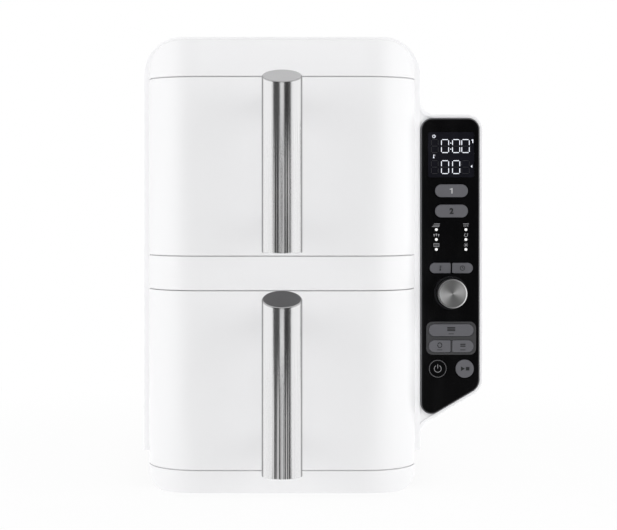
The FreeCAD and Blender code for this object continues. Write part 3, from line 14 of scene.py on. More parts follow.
import bpy
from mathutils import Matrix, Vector


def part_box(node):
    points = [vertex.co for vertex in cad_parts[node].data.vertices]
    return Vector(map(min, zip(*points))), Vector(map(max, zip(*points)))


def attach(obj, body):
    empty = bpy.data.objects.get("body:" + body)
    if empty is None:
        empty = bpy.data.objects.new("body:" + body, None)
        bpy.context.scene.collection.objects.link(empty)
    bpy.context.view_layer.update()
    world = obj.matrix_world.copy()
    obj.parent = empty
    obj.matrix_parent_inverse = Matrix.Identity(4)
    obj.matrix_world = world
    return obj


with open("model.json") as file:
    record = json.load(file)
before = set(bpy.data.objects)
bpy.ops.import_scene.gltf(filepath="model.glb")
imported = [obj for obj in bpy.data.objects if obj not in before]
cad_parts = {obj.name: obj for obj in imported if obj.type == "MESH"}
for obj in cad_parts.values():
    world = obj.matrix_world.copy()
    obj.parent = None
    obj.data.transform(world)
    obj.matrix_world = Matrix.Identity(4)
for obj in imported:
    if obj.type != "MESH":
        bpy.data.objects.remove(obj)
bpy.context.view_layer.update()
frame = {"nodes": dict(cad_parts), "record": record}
LOG = logging.getLogger("air_fryer")

MM = 0.001
IMAGE_WIDTH_PX = 617
IMAGE_HEIGHT_PX = 530
SENSOR_MM = 36.0
BAYS = ("upper", "lower")
GROUPED_KEYS = ("stack", "sync", "match")
COLLAR_HEIGHT = 1.4 * MM
PRINT_DEPTH = 0.05 * MM
PRINT_SUNK = 0.02 * MM
PRINT_MOVE = (0.0, -PRINT_DEPTH, 0.0)
PANEL_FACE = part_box("control_fascia")[0].y + COLLAR_HEIGHT

WHITE = (1.0, 1.0, 1.0, 1.0)

Colour = tuple[float, float, float]


def srgb(red: float, green: float, blue: float) -> Colour:
    """Return in linear light a colour that is written from 0 to 255, as seen on a screen."""
    shares = (channel / 255 for channel in (red, green, blue))
    return tuple(s / 12.92 if s <= 0.04045 else ((s + 0.055) / 1.055) ** 2.4 for s in shares)


def toned(colour: Colour, share: float, lift: float = 0.0) -> Colour:
    """Return a colour made darker or lighter, but never more than white."""
    return tuple(min(channel * share + lift, 1.0) for channel in colour)


class Axis(Enum):
    """A direction of the model's frame."""

    X = 0
    Y = 1
    Z = 2


def math_method(operation: str, swapped: bool = False) -> Callable[["Wire", "Wire | float"], "Wire"]:
    """Make a method that puts a wire and another value into a Math node.

    Args:
        operation: Name of the node's operation.
        swapped: True where the other value comes first.

    Returns:
        The method.
    """

    def method(wire: "Wire", other: "Wire | float") -> "Wire":
        """Return the result of the operation."""
        values = (other, wire) if swapped else (wire, other)
        return wire.shader.maths(operation, *values)

    return method


class Wire:
    """A number on its way between nodes, extended by ordinary operators."""

    __add__ = __radd__ = math_method("ADD")
    __sub__ = math_method("SUBTRACT")
    __rsub__ = math_method("SUBTRACT", swapped=True)
    __mul__ = __rmul__ = math_method("MULTIPLY")
    __truediv__ = math_method("DIVIDE")
    __pow__ = math_method("POWER")

    def __init__(self, shader: "Shader", socket: bpy.types.NodeSocket | None) -> None:
        """Keep the socket and the shader that it belongs to."""
        self.shader = shader
        self.socket = socket

    def size(self) -> "Wire":
        """Drop the sign."""
        return self.shader.maths("ABSOLUTE", self)

    def cosine(self) -> "Wire":
        """Take the cosine of an angle in radians."""
        return self.shader.maths("COSINE", self)

    def ramp(self, low: float, high: float) -> "Wire":
        """Rise smoothly from 0 at the low end to 1 at the high end."""
        sockets = {"Value": self, "From Min": low, "From Max": high}
        return self.shader.node("ShaderNodeMapRange", {"interpolation_type": "SMOOTHSTEP"}, sockets)


class Shader:
    """The node tree of a material or of the world."""

    MIX_FIRST = 6
    MIX_SECOND = 7
    MIX_RESULT = 2

    def __init__(self, tree: bpy.types.NodeTree) -> None:
        """Start from an empty tree."""
        self.tree = tree
        tree.nodes.clear()

    def node(self, kind: str, settings: dict[str, Any], sockets: dict[Any, Any], output: Any = 0) -> Wire:
        """Add a node.

        Args:
            kind: Type of the node.
            settings: Properties that are set first; "stops" fills a colour ramp.
            sockets: Input values or wires, by name or number.
            output: Name or number of the wanted output.

        Returns:
            That output.
        """
        node = self.tree.nodes.new(kind)
        for name, setting in settings.items():
            if name == "stops":
                self.fill_ramp(node.color_ramp, setting)
            else:
                setattr(node, name, setting)
        for name, given in sockets.items():
            if isinstance(given, Wire):
                self.tree.links.new(given.socket, node.inputs[name])
            else:
                node.inputs[name].default_value = given
        return Wire(self, node.outputs[output]) if node.outputs else Wire(self, None)

    @staticmethod
    def fill_ramp(ramp: bpy.types.ColorRamp, stops: Sequence[tuple[float, Colour]]) -> None:
        """Set the stops of a colour ramp.

        Args:
            ramp: The ramp of a new node.
            stops: Places and colours in order.
        """
        while len(ramp.elements) < len(stops):
            ramp.elements.new(1.0)
        for element, (place, colour) in zip(ramp.elements, stops):
            element.position = place
            element.color = (*colour, 1.0)

    def maths(self, operation: str, *values: Wire | float) -> Wire:
        """Return the result of a Math node with these inputs in order."""
        return self.node("ShaderNodeMath", {"operation": operation}, dict(enumerate(values)))

    def place(self) -> Wire:
        """Return the place on the piece in metres."""
        return self.node("ShaderNodeTexCoord", {}, {}, "Object")

    def parts_of(self, vector: Wire) -> list[Wire]:
        """Return a vector's x, y and z."""
        split = self.node("ShaderNodeSeparateXYZ", {}, {"Vector": vector}).socket.node
        return [Wire(self, socket) for socket in split.outputs]

    def vector(self, x: Wire | float, y: Wire | float, z: Wire | float) -> Wire:
        """Return a vector made of three numbers."""
        return self.node("ShaderNodeCombineXYZ", {}, {"X": x, "Y": y, "Z": z})

    def stretched(self, vector: Wire, sizes: Sequence[float]) -> Wire:
        """Return a place in units of a pattern, from the length of a unit along x, y and z."""
        scale = tuple(1 / size for size in sizes)
        return self.node("ShaderNodeMapping", {"vector_type": "POINT"}, {"Vector": vector, "Scale": scale})

    def noise(self, vector: Wire, detail: float = 2.0, roughness: float = 0.5) -> Wire:
        """Return soft noise between 0 and 1, with a number of finer layers and their strength."""
        sockets = {"Vector": vector, "Scale": 1.0, "Detail": detail, "Roughness": roughness}
        return self.node("ShaderNodeTexNoise", {"noise_dimensions": "3D"}, sockets, "Fac")

    def grain(self, size: float | Sequence[float], detail: float = 2.0, roughness: float = 0.5) -> Wire:
        """Return noise on the piece, from the length of its unit, or one length for each axis."""
        sizes = size if isinstance(size, Sequence) else (size,) * 3
        return self.noise(self.stretched(self.place(), sizes), detail, roughness)

    def cells(self, size: float, output: str) -> Wire:
        """Return an output of a pattern of cells of one size on the piece."""
        return self.node("ShaderNodeTexVoronoi", {}, {"Vector": self.place(), "Scale": 1 / size}, output)

    def mix(self, share: Wire | float, first: Wire | Colour, second: Wire | Colour) -> Wire:
        """Blend two colours.

        Args:
            share: How much of the second shows.
            first: Colour at 0.
            second: Colour at 1.

        Returns:
            The blend.
        """
        sockets = {"Factor": share}
        for number, colour in ((self.MIX_FIRST, first), (self.MIX_SECOND, second)):
            sockets[number] = colour if isinstance(colour, Wire) else (*colour, 1.0)
        return self.node("ShaderNodeMix", {"data_type": "RGBA"}, sockets, self.MIX_RESULT)

    def bump(self, height: Wire, depth: float) -> Wire:
        """Return the surface direction for a height that is a share of the relief's depth."""
        return self.node("ShaderNodeBump", {}, {"Height": height, "Distance": depth, "Strength": 1.0})

    def surface(self, sockets: dict[str, Any]) -> None:
        """End a material in one Principled shader with these values or wires."""
        shader = self.node("ShaderNodeBsdfPrincipled", {}, sockets)
        self.node("ShaderNodeOutputMaterial", {}, {"Surface": shader})


@dataclass(frozen=True)
class Finish:
    """A finish that can go on any piece; its kinds say how it looks."""

    name: str

    def paint(self, shader: Shader) -> None:
        """Build the nodes of the finish in the empty tree of its material."""
        raise NotImplementedError

    def material(self) -> bpy.types.Material:
        """Make the finish when it is first asked for.

        Returns:
            Its material.
        """
        name = f"{self.name}_finish"
        found = bpy.data.materials.get(name)
        if found is None:
            found = bpy.data.materials.new(name)
            found.use_nodes = True
            self.paint(Shader(found.node_tree))
        return found

    def put_on(self, piece: bpy.types.Object) -> None:
        """Give a piece this finish all over.

        Args:
            piece: The mesh that gets it.
        """
        if not piece.material_slots:
            piece.data.materials.append(self.material())
        for slot in piece.material_slots:
            slot.link = "OBJECT"
            slot.material = self.material()


@dataclass(frozen=True)
class MouldedPlastic(Finish):
    """Injection-moulded plastic with a fine grain and faint cloudiness."""

    colour: Colour = (0.8, 0.8, 0.8)
    roughness: float = 0.35
    grain: float = 0.5 * MM
    depth: float = 0.004 * MM
    cloud: float = 0.02
    specular: float = 0.5
    cloud_size: float = 90 * MM

    def paint(self, shader: Shader) -> None:
        """Build the nodes of the finish.

        Args:
            shader: The empty tree of its material.
        """
        cloud = shader.grain(self.cloud_size, 3.0)
        grain = shader.grain(self.grain, 1.0)
        shader.surface({
            "Base Color": self.tone(shader, cloud * 0.8 + grain * 0.2),
            "Roughness": self.roughness + (cloud - 0.5) * 0.08 + (grain - 0.5) * 0.06,
            "Specular IOR Level": self.specular,
            "Normal": shader.bump(grain, self.depth),
        })

    def tone(self, shader: Shader, cover: Wire) -> Wire:
        """Return the colour where the cloudiness is more or less pale, from 0 to 1."""
        return shader.mix(cover, toned(self.colour, 1 - self.cloud), toned(self.colour, 1 + self.cloud))


@dataclass(frozen=True)
class PaintedLipPlastic(MouldedPlastic):
    """Moulded plastic that is paler along the lip at its front: a painted highlight that makes up for the
    shade beside the drawers.
    """

    painted_lip_light: Colour = (0.95, 0.95, 0.95)
    front: float = 0.0
    fade: tuple[float, float] = (4 * MM, 24 * MM)

    def tone(self, shader: Shader, cover: Wire) -> Wire:
        """Return the colour as moulded plastic has it, but that of the paler lip at the front, a painted
        highlight.
        """
        # Painted highlight: the pale lip colour fades into the darker body colour behind it.
        behind = shader.parts_of(shader.place())[Axis.Y.value] - self.front
        return shader.mix(behind.ramp(*self.fade), self.painted_lip_light, super().tone(shader, cover))


@dataclass(frozen=True)
class GlossPanel(Finish):
    """Polished dark panel with faint wipe marks; where a face is given, its rounded edge is painted grey,
    partly a grey bevel and partly a painted highlight, and what stands proud of the face gets a painted
    highlight.
    """

    colour: Colour = (0.004, 0.004, 0.0045)
    roughness: float = 0.08
    smear: float = 0.05
    edge: Colour = (0.004, 0.004, 0.0045)
    face: float | None = None
    edge_highlight_fall: tuple[float, float] = (0.04 * MM, 0.3 * MM)
    raised_highlight: Colour = srgb(30, 30, 32)
    raised_highlight_fall: tuple[float, float] = (-0.1 * MM, -0.3 * MM)
    wipe_size: tuple[float, float, float] = (12 * MM, 20 * MM, 50 * MM)
    dust_size: float = 0.7 * MM

    def paint(self, shader: Shader) -> None:
        """Build the nodes of the finish.

        Args:
            shader: The empty tree of its material.
        """
        wipe = shader.grain(self.wipe_size, 4.0, 0.6)
        dust = shader.grain(self.dust_size, 0.0).ramp(0.72, 0.8)
        cover = wipe.ramp(0.35, 0.8) * 0.5 + dust * 0.3
        tone = shader.mix(cover, self.colour, toned(self.colour, 1.5, 0.001))
        # Painted highlight on the rounded edge behind the face, and on what stands proud of it such as the
        # dial's collar.
        if self.face is not None:
            fallen = shader.parts_of(shader.place())[Axis.Y.value] - self.face
            tone = shader.mix(fallen.ramp(*self.edge_highlight_fall), tone, self.edge)
            tone = shader.mix(fallen.ramp(*self.raised_highlight_fall), tone, self.raised_highlight)
        shader.surface({
            "Base Color": tone,
            "Roughness": self.roughness + wipe.ramp(0.4, 0.75) * self.smear + dust * 0.1,
            "Specular IOR Level": 0.2,
        })


@dataclass(frozen=True)
class BrushedMetal(Finish):
    """Steel brushed along one axis."""

    colour: Colour = (0.62, 0.62, 0.63)
    along: Axis = Axis.Z
    line: float = 0.35 * MM
    length: float = 90 * MM
    roughness: float = 0.22
    contrast: float = 0.12
    depth: float = 0.01 * MM

    def paint(self, shader: Shader) -> None:
        """Build the nodes of the finish.

        Args:
            shader: The empty tree of its material.
        """
        def lines(width: float, reach: float, detail: float) -> Wire:
            """Return lines of one width and length along the brushing."""
            sizes = [reach if axis is self.along else width for axis in Axis]
            return shader.grain(sizes, detail, 0.65)

        fine = lines(self.line, self.length, 2.0)
        wide = lines(self.line * 6, self.length * 2.5, 1.0)
        tone = (fine - 0.5) * 0.6 + (wide - 0.5) * 0.4
        darker, lighter = toned(self.colour, 1 - self.contrast), toned(self.colour, 1 + self.contrast)
        shader.surface({
            "Base Color": shader.mix((tone + 0.5).ramp(0.1, 0.9), darker, lighter),
            "Metallic": 1.0,
            "Roughness": self.roughness + (fine - 0.5) * 0.16,
            "Normal": shader.bump(fine * 0.5 + wide * 0.5, self.depth),
        })


@dataclass(frozen=True)
class BarSteel(Finish):
    """Polished upright bar: painted shade along its sides and in the rim below its cap face, streaked towards
    its lower end, with a slanted cap face whose tone is a painted reflection.
    """

    colour: Colour = (0.68, 0.68, 0.685)
    cap: Colour = (0.5, 0.5, 0.5)
    axis: float = 0.0
    radius: float = 16 * MM
    low: float = 0.0
    high: float = 0.18
    rear: float = 0.0
    slant: float = 0.37
    edge: float = 1.7 * MM
    roughness: float = 0.19
    side_shade_tone: float = 0.22
    rim_shade_tone: float = 0.5
    streak: float = 1.1 * MM
    streak_tone: float = 0.75
    streak_end: tuple[float, float] = (0.3, 0.8)
    line: float = 0.3 * MM
    reach: float = 250 * MM
    side_shade_turn: tuple[float, float] = (0.9, 0.965)
    face_fall: tuple[float, float] = (0.05 * MM, 0.2 * MM)
    rim_shade_fall: tuple[float, float] = (0.8 * MM, 1.5 * MM)
    depth: float = 0.01 * MM

    def paint(self, shader: Shader) -> None:
        """Build the nodes of the finish.

        Args:
            shader: The empty tree of its material.
        """
        x, y, z = shader.parts_of(shader.place())
        fine = shader.grain((self.line, self.line, self.reach), 2.0, 0.65)
        wide = shader.grain((self.streak, self.streak, 2 * self.reach), 1.0, 0.6)
        tall = self.high - self.low
        worn = 1.0 - z.ramp(*(self.low + tall * share for share in self.streak_end))
        streak = wide.ramp(0.42, 0.66) * worn
        # Painted shade: the base colour darkens towards the bar's sides and in the rim just below the cap
        # face, standing in for dark reflections there.
        side = ((x - self.axis) / self.radius).size().ramp(*self.side_shade_turn)
        lost = self.edge * (self.slant + math.hypot(1.0, self.slant) - 1.0)
        below = (self.high + lost - (self.rear - y) * self.slant) - z
        face = 1.0 - below.ramp(*self.face_fall)
        rim = 1.0 - below.ramp(*self.rim_shade_fall)
        shade = shader.maths("MAXIMUM", side, rim * self.rim_shade_tone)
        brushed = shader.mix(fine, toned(self.colour, 0.94), self.colour)
        bar = shader.mix(shade, brushed, toned(self.colour, self.side_shade_tone))
        # The cap face's colour is a painted reflection.
        cap = shader.mix(fine, toned(self.cap, 0.92), self.cap)
        shader.surface({
            "Base Color": shader.mix(face, bar, cap),
            "Metallic": 1.0 - streak * self.streak_tone * (1.0 - face),
            "Roughness": self.roughness + (fine - 0.5) * 0.1 + streak * 0.16 + face * 0.25,
            "Normal": shader.bump(fine * 0.4 + wide * 0.6, self.depth),
        })


@dataclass(frozen=True)
class TurnedMetal(Finish):
    """Metal faced on a lathe: fine rings about an axis along Y, and a painted highlight that fans out from
    it.
    """

    colour: Colour = (0.5, 0.5, 0.5)
    centre: tuple[float, float] = (0.0, 0.0)
    ring: float = 0.12 * MM
    roughness: float = 0.28
    depth: float = 0.012 * MM
    fan_highlight: float = 0.0
    highlight_turn: float = 0.24
    highlight_beams: int = 2
    highlight_focus: float = 1.6

    def paint(self, shader: Shader) -> None:
        """Build the nodes of the finish.

        Args:
            shader: The empty tree of its material.
        """
        x, y, z = shader.parts_of(shader.place())
        across, up = x - self.centre[0], z - self.centre[1]
        radius = (across * across + up * up) ** 0.5
        turn = shader.maths("ARCTAN2", up, across)
        rings = shader.noise(shader.vector(radius / self.ring, y / (2 * MM), turn * 0.6), 2.0, 0.7)
        soft = shader.noise(shader.vector(radius / (6 * self.ring), y / (4 * MM), turn * 0.4), 1.0)
        # Painted highlight: the base colour is lighter in beams about the axis, in place of light fanning out
        # from the rings.
        light = (((turn - self.highlight_turn) * self.highlight_beams).cosine() * 0.5 + 0.5) ** self.highlight_focus
        darker = toned(self.colour, 1 - self.fan_highlight)
        painted_fan = shader.mix(light, darker, toned(self.colour, 1 + self.fan_highlight))
        shader.surface({
            "Base Color": shader.mix((rings * 0.6 + soft * 0.4) * 0.2, painted_fan, darker),
            "Metallic": 1.0,
            "Roughness": self.roughness + (soft - 0.5) * 0.1,
            "Normal": shader.bump(rings, self.depth),
        })


@dataclass(frozen=True)
class SheetMetal(Finish):
    """Coated sheet steel with a faint mottle and rolling lines."""

    colour: Colour = (0.5, 0.5, 0.5)
    roughness: float = 0.34
    mottle: float = 4 * MM
    tint: Colour = (0.45, 0.42, 0.38)
    tinted: float = 0.0
    tint_size: float = 60 * MM
    rolled: tuple[float, float, float] = (0.4 * MM, 60 * MM, 0.4 * MM)
    depth: float = 0.006 * MM

    def paint(self, shader: Shader) -> None:
        """Build the nodes of the finish.

        Args:
            shader: The empty tree of its material.
        """
        flake = shader.parts_of(shader.cells(self.mottle, "Color"))[0]
        rolled = shader.grain(self.rolled)
        heat = shader.grain(self.tint_size, 3.0).ramp(0.35, 0.75)
        plain = shader.mix(flake * 0.5 + rolled * 0.5, toned(self.colour, 0.88), self.colour)
        shader.surface({
            "Base Color": shader.mix(heat * self.tinted, plain, self.tint),
            "Metallic": 1.0,
            "Roughness": self.roughness + (flake - 0.5) * 0.1 + (rolled - 0.5) * 0.08,
            "Normal": shader.bump(rolled, self.depth),
        })


@dataclass(frozen=True)
class BakedCoat(Finish):
    """Dark non-stick coat with pale specks and an orange-peel skin."""

    colour: Colour = (0.018, 0.018, 0.019)
    speck: Colour = (0.09, 0.09, 0.09)
    roughness: float = 0.42
    speck_gap: float = 1.6 * MM
    peel: float = 1.2 * MM
    wear: float = 50 * MM
    depth: float = 0.02 * MM

    def paint(self, shader: Shader) -> None:
        """Build the nodes of the finish.

        Args:
            shader: The empty tree of its material.
        """
        worn = shader.grain(self.wear, 4.0)
        specks = 1.0 - shader.cells(self.speck_gap, "Distance").ramp(0.08, 0.16)
        shader.surface({
            "Base Color": shader.mix(specks * worn.ramp(0.3, 0.6), self.colour, self.speck),
            "Roughness": self.roughness + (worn - 0.5) * 0.2 - specks * 0.08,
            "Normal": shader.bump(shader.grain(self.peel), self.depth),
        })


@dataclass(frozen=True)
class Elastomer(Finish):
    """Rubber or silicone: matt, slightly dusty, with a soft skin."""

    colour: Colour = (0.02, 0.02, 0.02)
    roughness: float = 0.7
    dust: float = 3 * MM
    skin: float = 0.3 * MM
    depth: float = 0.008 * MM

    def paint(self, shader: Shader) -> None:
        """Build the nodes of the finish.

        Args:
            shader: The empty tree of its material.
        """
        dust = shader.grain(self.dust, 5.0, 0.65)
        shader.surface({
            "Base Color": shader.mix(dust.ramp(0.35, 0.85), self.colour, toned(self.colour, 1.5, 0.01)),
            "Roughness": self.roughness + (dust - 0.5) * 0.15,
            "Specular IOR Level": 0.3,
            "Normal": shader.bump(shader.grain(self.skin, 1.0), self.depth),
        })


@dataclass(frozen=True)
class CircuitBoard(Finish):
    """Green solder mask over copper tracks."""

    mask: Colour = (0.012, 0.09, 0.035)
    track: Colour = (0.03, 0.17, 0.06)
    pitch: float = 2.5 * MM
    weave: float = 0.5 * MM
    depth: float = 0.03 * MM

    def paint(self, shader: Shader) -> None:
        """Build the nodes of the finish.

        Args:
            shader: The empty tree of its material.
        """
        sockets = {
            "Vector": shader.stretched(shader.place(), (self.pitch,) * 3), "Scale": 1.0,
            "Mortar Size": 0.06, "Brick Width": 3.0, "Row Height": 0.9,
        }
        tracks = shader.node("ShaderNodeTexBrick", {}, sockets, "Fac")
        shader.surface({
            "Base Color": shader.mix(tracks, self.mask, self.track),
            "Roughness": 0.3 + shader.grain(self.weave, 1.0) * 0.15,
            "Normal": shader.bump(tracks, self.depth),
        })


@dataclass(frozen=True)
class HeatedTube(Finish):
    """Steel tube that heat has turned brown and blue in places."""

    tints: tuple[tuple[float, Colour], ...] = (
        (0.3, srgb(88, 84, 80)), (0.5, srgb(104, 84, 66)), (0.62, srgb(74, 72, 84)), (0.8, srgb(96, 92, 88)))
    tint_size: float = 30 * MM
    scale: float = 0.8 * MM
    depth: float = 0.01 * MM

    def paint(self, shader: Shader) -> None:
        """Build the nodes of the finish.

        Args:
            shader: The empty tree of its material.
        """
        heat = shader.grain(self.tint_size, 3.0)
        scale = shader.grain(self.scale, 3.0)
        shader.surface({
            "Base Color": shader.node("ShaderNodeValToRGB", {"stops": self.tints}, {"Fac": heat}),
            "Metallic": 1.0,
            "Roughness": 0.38 + (scale - 0.5) * 0.25,
            "Normal": shader.bump(scale, self.depth),
        })


@dataclass(frozen=True)
class Glow(Finish):
    """A lit mark, a little uneven as light guides are."""

    colour: Colour = (1.0, 1.0, 1.0)
    strength: float = 1.0
    body: Colour = (0.3, 0.3, 0.3)
    patch: float = 1.5 * MM

    def paint(self, shader: Shader) -> None:
        """Build the nodes of the finish.

        Args:
            shader: The empty tree of its material.
        """
        uneven = shader.grain(self.patch, 1.0)
        shader.surface({
            "Base Color": (*self.body, 1.0),
            "Roughness": 0.35 + uneven * 0.1,
            "Emission Color": shader.mix(uneven, toned(self.colour, 0.9), self.colour),
            "Emission Strength": self.strength,
        })


@dataclass(frozen=True)
class PanelPrint(Finish):
    """Screen-printed ink, slightly uneven in its cover."""

    colour: Colour = (0.4, 0.4, 0.4)
    roughness: float = 0.5
    speckle: float = 0.25 * MM

    def paint(self, shader: Shader) -> None:
        """Build the nodes of the finish.

        Args:
            shader: The empty tree of its material.
        """
        cover = shader.grain(self.speckle)
        shader.surface({
            "Base Color": shader.mix(cover, toned(self.colour, 0.85), self.colour),
            "Roughness": self.roughness + (cover - 0.5) * 0.1,
        })


WHITE_PLASTIC = MouldedPlastic("white_plastic", srgb(238, 238, 239), 0.34, 0.45 * MM, 0.003 * MM, 0.006)
# Painted light and shade: the shell's sides are toned darker than the drawers' white so the side lamps don't
# clip them, and its front lip is paler to make up for the shade beside the drawers.
SHELL_WHITE = PaintedLipPlastic("shell_white", srgb(230, 230, 231), 0.42, 0.45 * MM, 0.004 * MM, 0.005,
                            painted_lip_light=srgb(250, 250, 251), front=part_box("outer_shell")[0].y)
# The fascia's rounded edge and raised collar carry painted highlights.
BLACK_GLOSS = GlossPanel("black_gloss", srgb(9, 9, 10), 0.1, 0.05, srgb(96, 96, 99), PANEL_FACE)
DISPLAY_BLACK = GlossPanel("display_black", srgb(21, 21, 27), 0.12, 0.03)
KEY_GREY = MouldedPlastic("key_grey", srgb(91, 91, 96), 0.45, 0.3 * MM, 0.004 * MM, 0.03)
SURROUND_GREY = MouldedPlastic("surround_grey", srgb(53, 53, 55), 0.5, 0.3 * MM, 0.004 * MM, 0.03)
KEY_BLACK = MouldedPlastic("key_black", srgb(7, 7, 8), 0.3, 0.3 * MM, 0.002 * MM, 0.05, 0.04)
DARK_PLASTIC = MouldedPlastic("dark_plastic", srgb(38, 38, 40), 0.48, 0.5 * MM, 0.01 * MM, 0.05)
CHAMBER_STEEL = SheetMetal("chamber_steel", (0.55, 0.55, 0.55), 0.34, 5 * MM, (0.45, 0.38, 0.28), 0.35)
NONSTICK = BakedCoat("nonstick")
CHROME = BrushedMetal("wire_chrome", (0.74, 0.74, 0.75), Axis.X, 0.2 * MM, 20 * MM, 0.14, 0.06, 0.002 * MM)
RUBBER = Elastomer("rubber", srgb(42, 42, 44), 0.72)
SILICONE = Elastomer("silicone", srgb(70, 70, 72), 0.6)
BOARD = CircuitBoard("circuit_board")
MOTOR = SheetMetal("motor_grey", (0.4, 0.4, 0.41), 0.4, 2 * MM)
ELEMENT = HeatedTube("element_steel")
LIGHT_GUIDE = Glow("light_guide", (1.0, 1.0, 1.0), 0.8)
SCREW = BrushedMetal("screw_steel", (0.56, 0.56, 0.57), Axis.Y, 0.15 * MM, 4 * MM, 0.3, 0.08, 0.004 * MM)
# Painted reflections of the handles' cap faces: light on the upper handle, dark on the lower.
CAP_PAINTED_SHADE = srgb(98, 98, 99)
CAP_PAINTED_LIGHT = srgb(190, 190, 191)
DIGIT_LIT = Glow("digit_lit", srgb(236, 240, 250), 1.15, (0.2, 0.2, 0.2))
DIGIT_UNLIT = PanelPrint("digit_unlit", srgb(27, 27, 32), 0.35)
PRINT_GREY = PanelPrint("print_grey", srgb(142, 142, 145))
PRINT_DARK = PanelPrint("print_dark", srgb(11, 11, 13))
PRINT_FAINT = PanelPrint("light_bar", srgb(58, 58, 61))
PRINT_WHITE = Glow("print_white", srgb(236, 236, 238), 0.26, (0.3, 0.3, 0.3))

SLOT_FINISHES = {finish.name: finish for finish in (
    WHITE_PLASTIC, BLACK_GLOSS, DISPLAY_BLACK, KEY_GREY, DARK_PLASTIC, CHAMBER_STEEL, NONSTICK, CHROME,
    RUBBER, SILICONE, BOARD, MOTOR, ELEMENT, LIGHT_GUIDE, SCREW)}


class Element(Enum):
    """What a mesh is made of, by the name of its list."""

    VERT = "vertices"
    FACE = "polygons"


class Bench:
    """Blender's own hand tools, used on one new mesh at a time."""

    FACING_FRONT = (math.pi / 2, 0.0, 0.0)
    FACING_SIDE = (math.pi / 2, 0.0, math.pi / 2)
    FACING_UP = (0.0, 0.0, 0.0)
    NEAR = 1e-6

    @staticmethod
    def clear() -> None:
        """Leave edit mode and let go of everything that is selected."""
        if bpy.context.object is not None and bpy.context.object.mode != "OBJECT":
            bpy.ops.object.mode_set(mode="OBJECT")
        bpy.ops.object.select_all(action="DESELECT")

    @staticmethod
    def choose(piece: bpy.types.Object, kind: Element, test: Callable[[Vector], bool]) -> None:
        """Select in edit mode what lies at certain places.

        Args:
            piece: The mesh at hand.
            kind: What is selected.
            test: Says of a middle point whether it is wanted.
        """
        bpy.ops.object.mode_set(mode="EDIT")
        bpy.ops.mesh.select_mode(type=kind.name)
        bpy.ops.mesh.select_all(action="DESELECT")
        bpy.ops.object.mode_set(mode="OBJECT")
        for item in getattr(piece.data, kind.value):
            item.select = test(item.co if kind is Element.VERT else item.center)
        bpy.ops.object.mode_set(mode="EDIT")

    @staticmethod
    def named(name: str) -> bpy.types.Object:
        """Name the piece at hand and put its place into its mesh.

        Args:
            name: Name of the piece.

        Returns:
            The piece, in object mode.
        """
        if bpy.context.object.mode != "OBJECT":
            bpy.ops.object.mode_set(mode="OBJECT")
        piece = bpy.context.object
        piece.name = name
        piece.data.name = name
        bpy.ops.object.transform_apply(location=True, rotation=True, scale=True)
        return piece

    @staticmethod
    def thicken(move: tuple[float, float, float], edge: float = 0.0) -> None:
        """Pull the flat mesh at hand out and close it.

        Args:
            move: How far it comes out.
            edge: Rounding of its new edge.
        """
        bpy.ops.mesh.select_mode(type="FACE")
        bpy.ops.mesh.select_all(action="SELECT")
        bpy.ops.mesh.extrude_region_move(TRANSFORM_OT_translate={"value": move})
        if edge > 0:
            bpy.ops.mesh.bevel(offset=edge, segments=2, affect="EDGES")
        bpy.ops.mesh.select_all(action="SELECT")
        bpy.ops.mesh.normals_make_consistent(inside=False)

    @classmethod
    def sheet(cls, name: str, middle: Vector, size: tuple[float, float],
              rotation: tuple[float, float, float]) -> bpy.types.Object:
        """Start a flat piece: a rectangle.

        Args:
            name: Name of the piece.
            middle: Its middle.
            size: Width and height.
            rotation: Its turn from lying flat.

        Returns:
            The piece, in object mode.
        """
        cls.clear()
        bpy.ops.mesh.primitive_plane_add(size=1.0, location=middle, rotation=rotation)
        bpy.context.object.scale = (*size, 1.0)
        return cls.named(name)

    @classmethod
    def plate(cls, name: str, back: Vector, size: tuple[float, float], depth: float,
              radii: tuple[float, float, float, float], edge: float = 0.0) -> bpy.types.Object:
        """Make a flat plate that faces the front.

        Args:
            name: Name of the piece.
            back: Middle of its rear face.
            size: Width and height.
            depth: Thickness.
            radii: Corner radii: low left, low right, high right, high left.
            edge: Rounding of the front edge.

        Returns:
            The plate.
        """
        piece = cls.sheet(name, back, size, cls.FACING_FRONT)
        corners = [(-1, -1), (1, -1), (1, 1), (-1, 1)]
        spots = [back + Vector((sx * size[0] / 2, 0.0, sz * size[1] / 2)) for sx, sz in corners]
        for spot, radius in zip(spots, radii):
            if radius > 0:
                cls.choose(piece, Element.VERT, lambda point: (point - spot).length < cls.NEAR)
                bpy.ops.mesh.bevel(offset=radius, offset_type="OFFSET", segments=6, affect="VERTICES")
        bpy.ops.object.mode_set(mode="EDIT")
        cls.thicken((0.0, -depth, 0.0), edge)
        return cls.named(name)

    @classmethod
    def flat_circle(cls, name: str, middle: Vector, radius: float, sides: int,
                    turn: float = 0.0) -> bpy.types.Object:
        """Start a round piece: a flat circle that faces the front, selected in edit mode.

        Args:
            name: Name of the piece.
            middle: Its middle.
            radius: Radius to its corners.
            sides: Number of sides.
            turn: Turn about the front axis in radians.

        Returns:
            The piece.
        """
        cls.clear()
        bpy.ops.mesh.primitive_circle_add(vertices=sides, radius=radius, fill_type="NGON", location=middle,
                                          rotation=(math.pi / 2, turn, 0.0))
        piece = cls.named(name)
        bpy.ops.object.mode_set(mode="EDIT")
        bpy.ops.mesh.select_all(action="SELECT")
        return piece

    @classmethod
    def join(cls, name: str, pieces: Sequence[bpy.types.Object]) -> bpy.types.Object:
        """Make one piece of several.

        Args:
            name: Name of the whole.
            pieces: What it is made of.

        Returns:
            The whole.
        """
        cls.clear()
        for piece in pieces:
            piece.select_set(True)
        bpy.context.view_layer.objects.active = pieces[0]
        if len(pieces) > 1:
            bpy.ops.object.join()
        return cls.named(name)


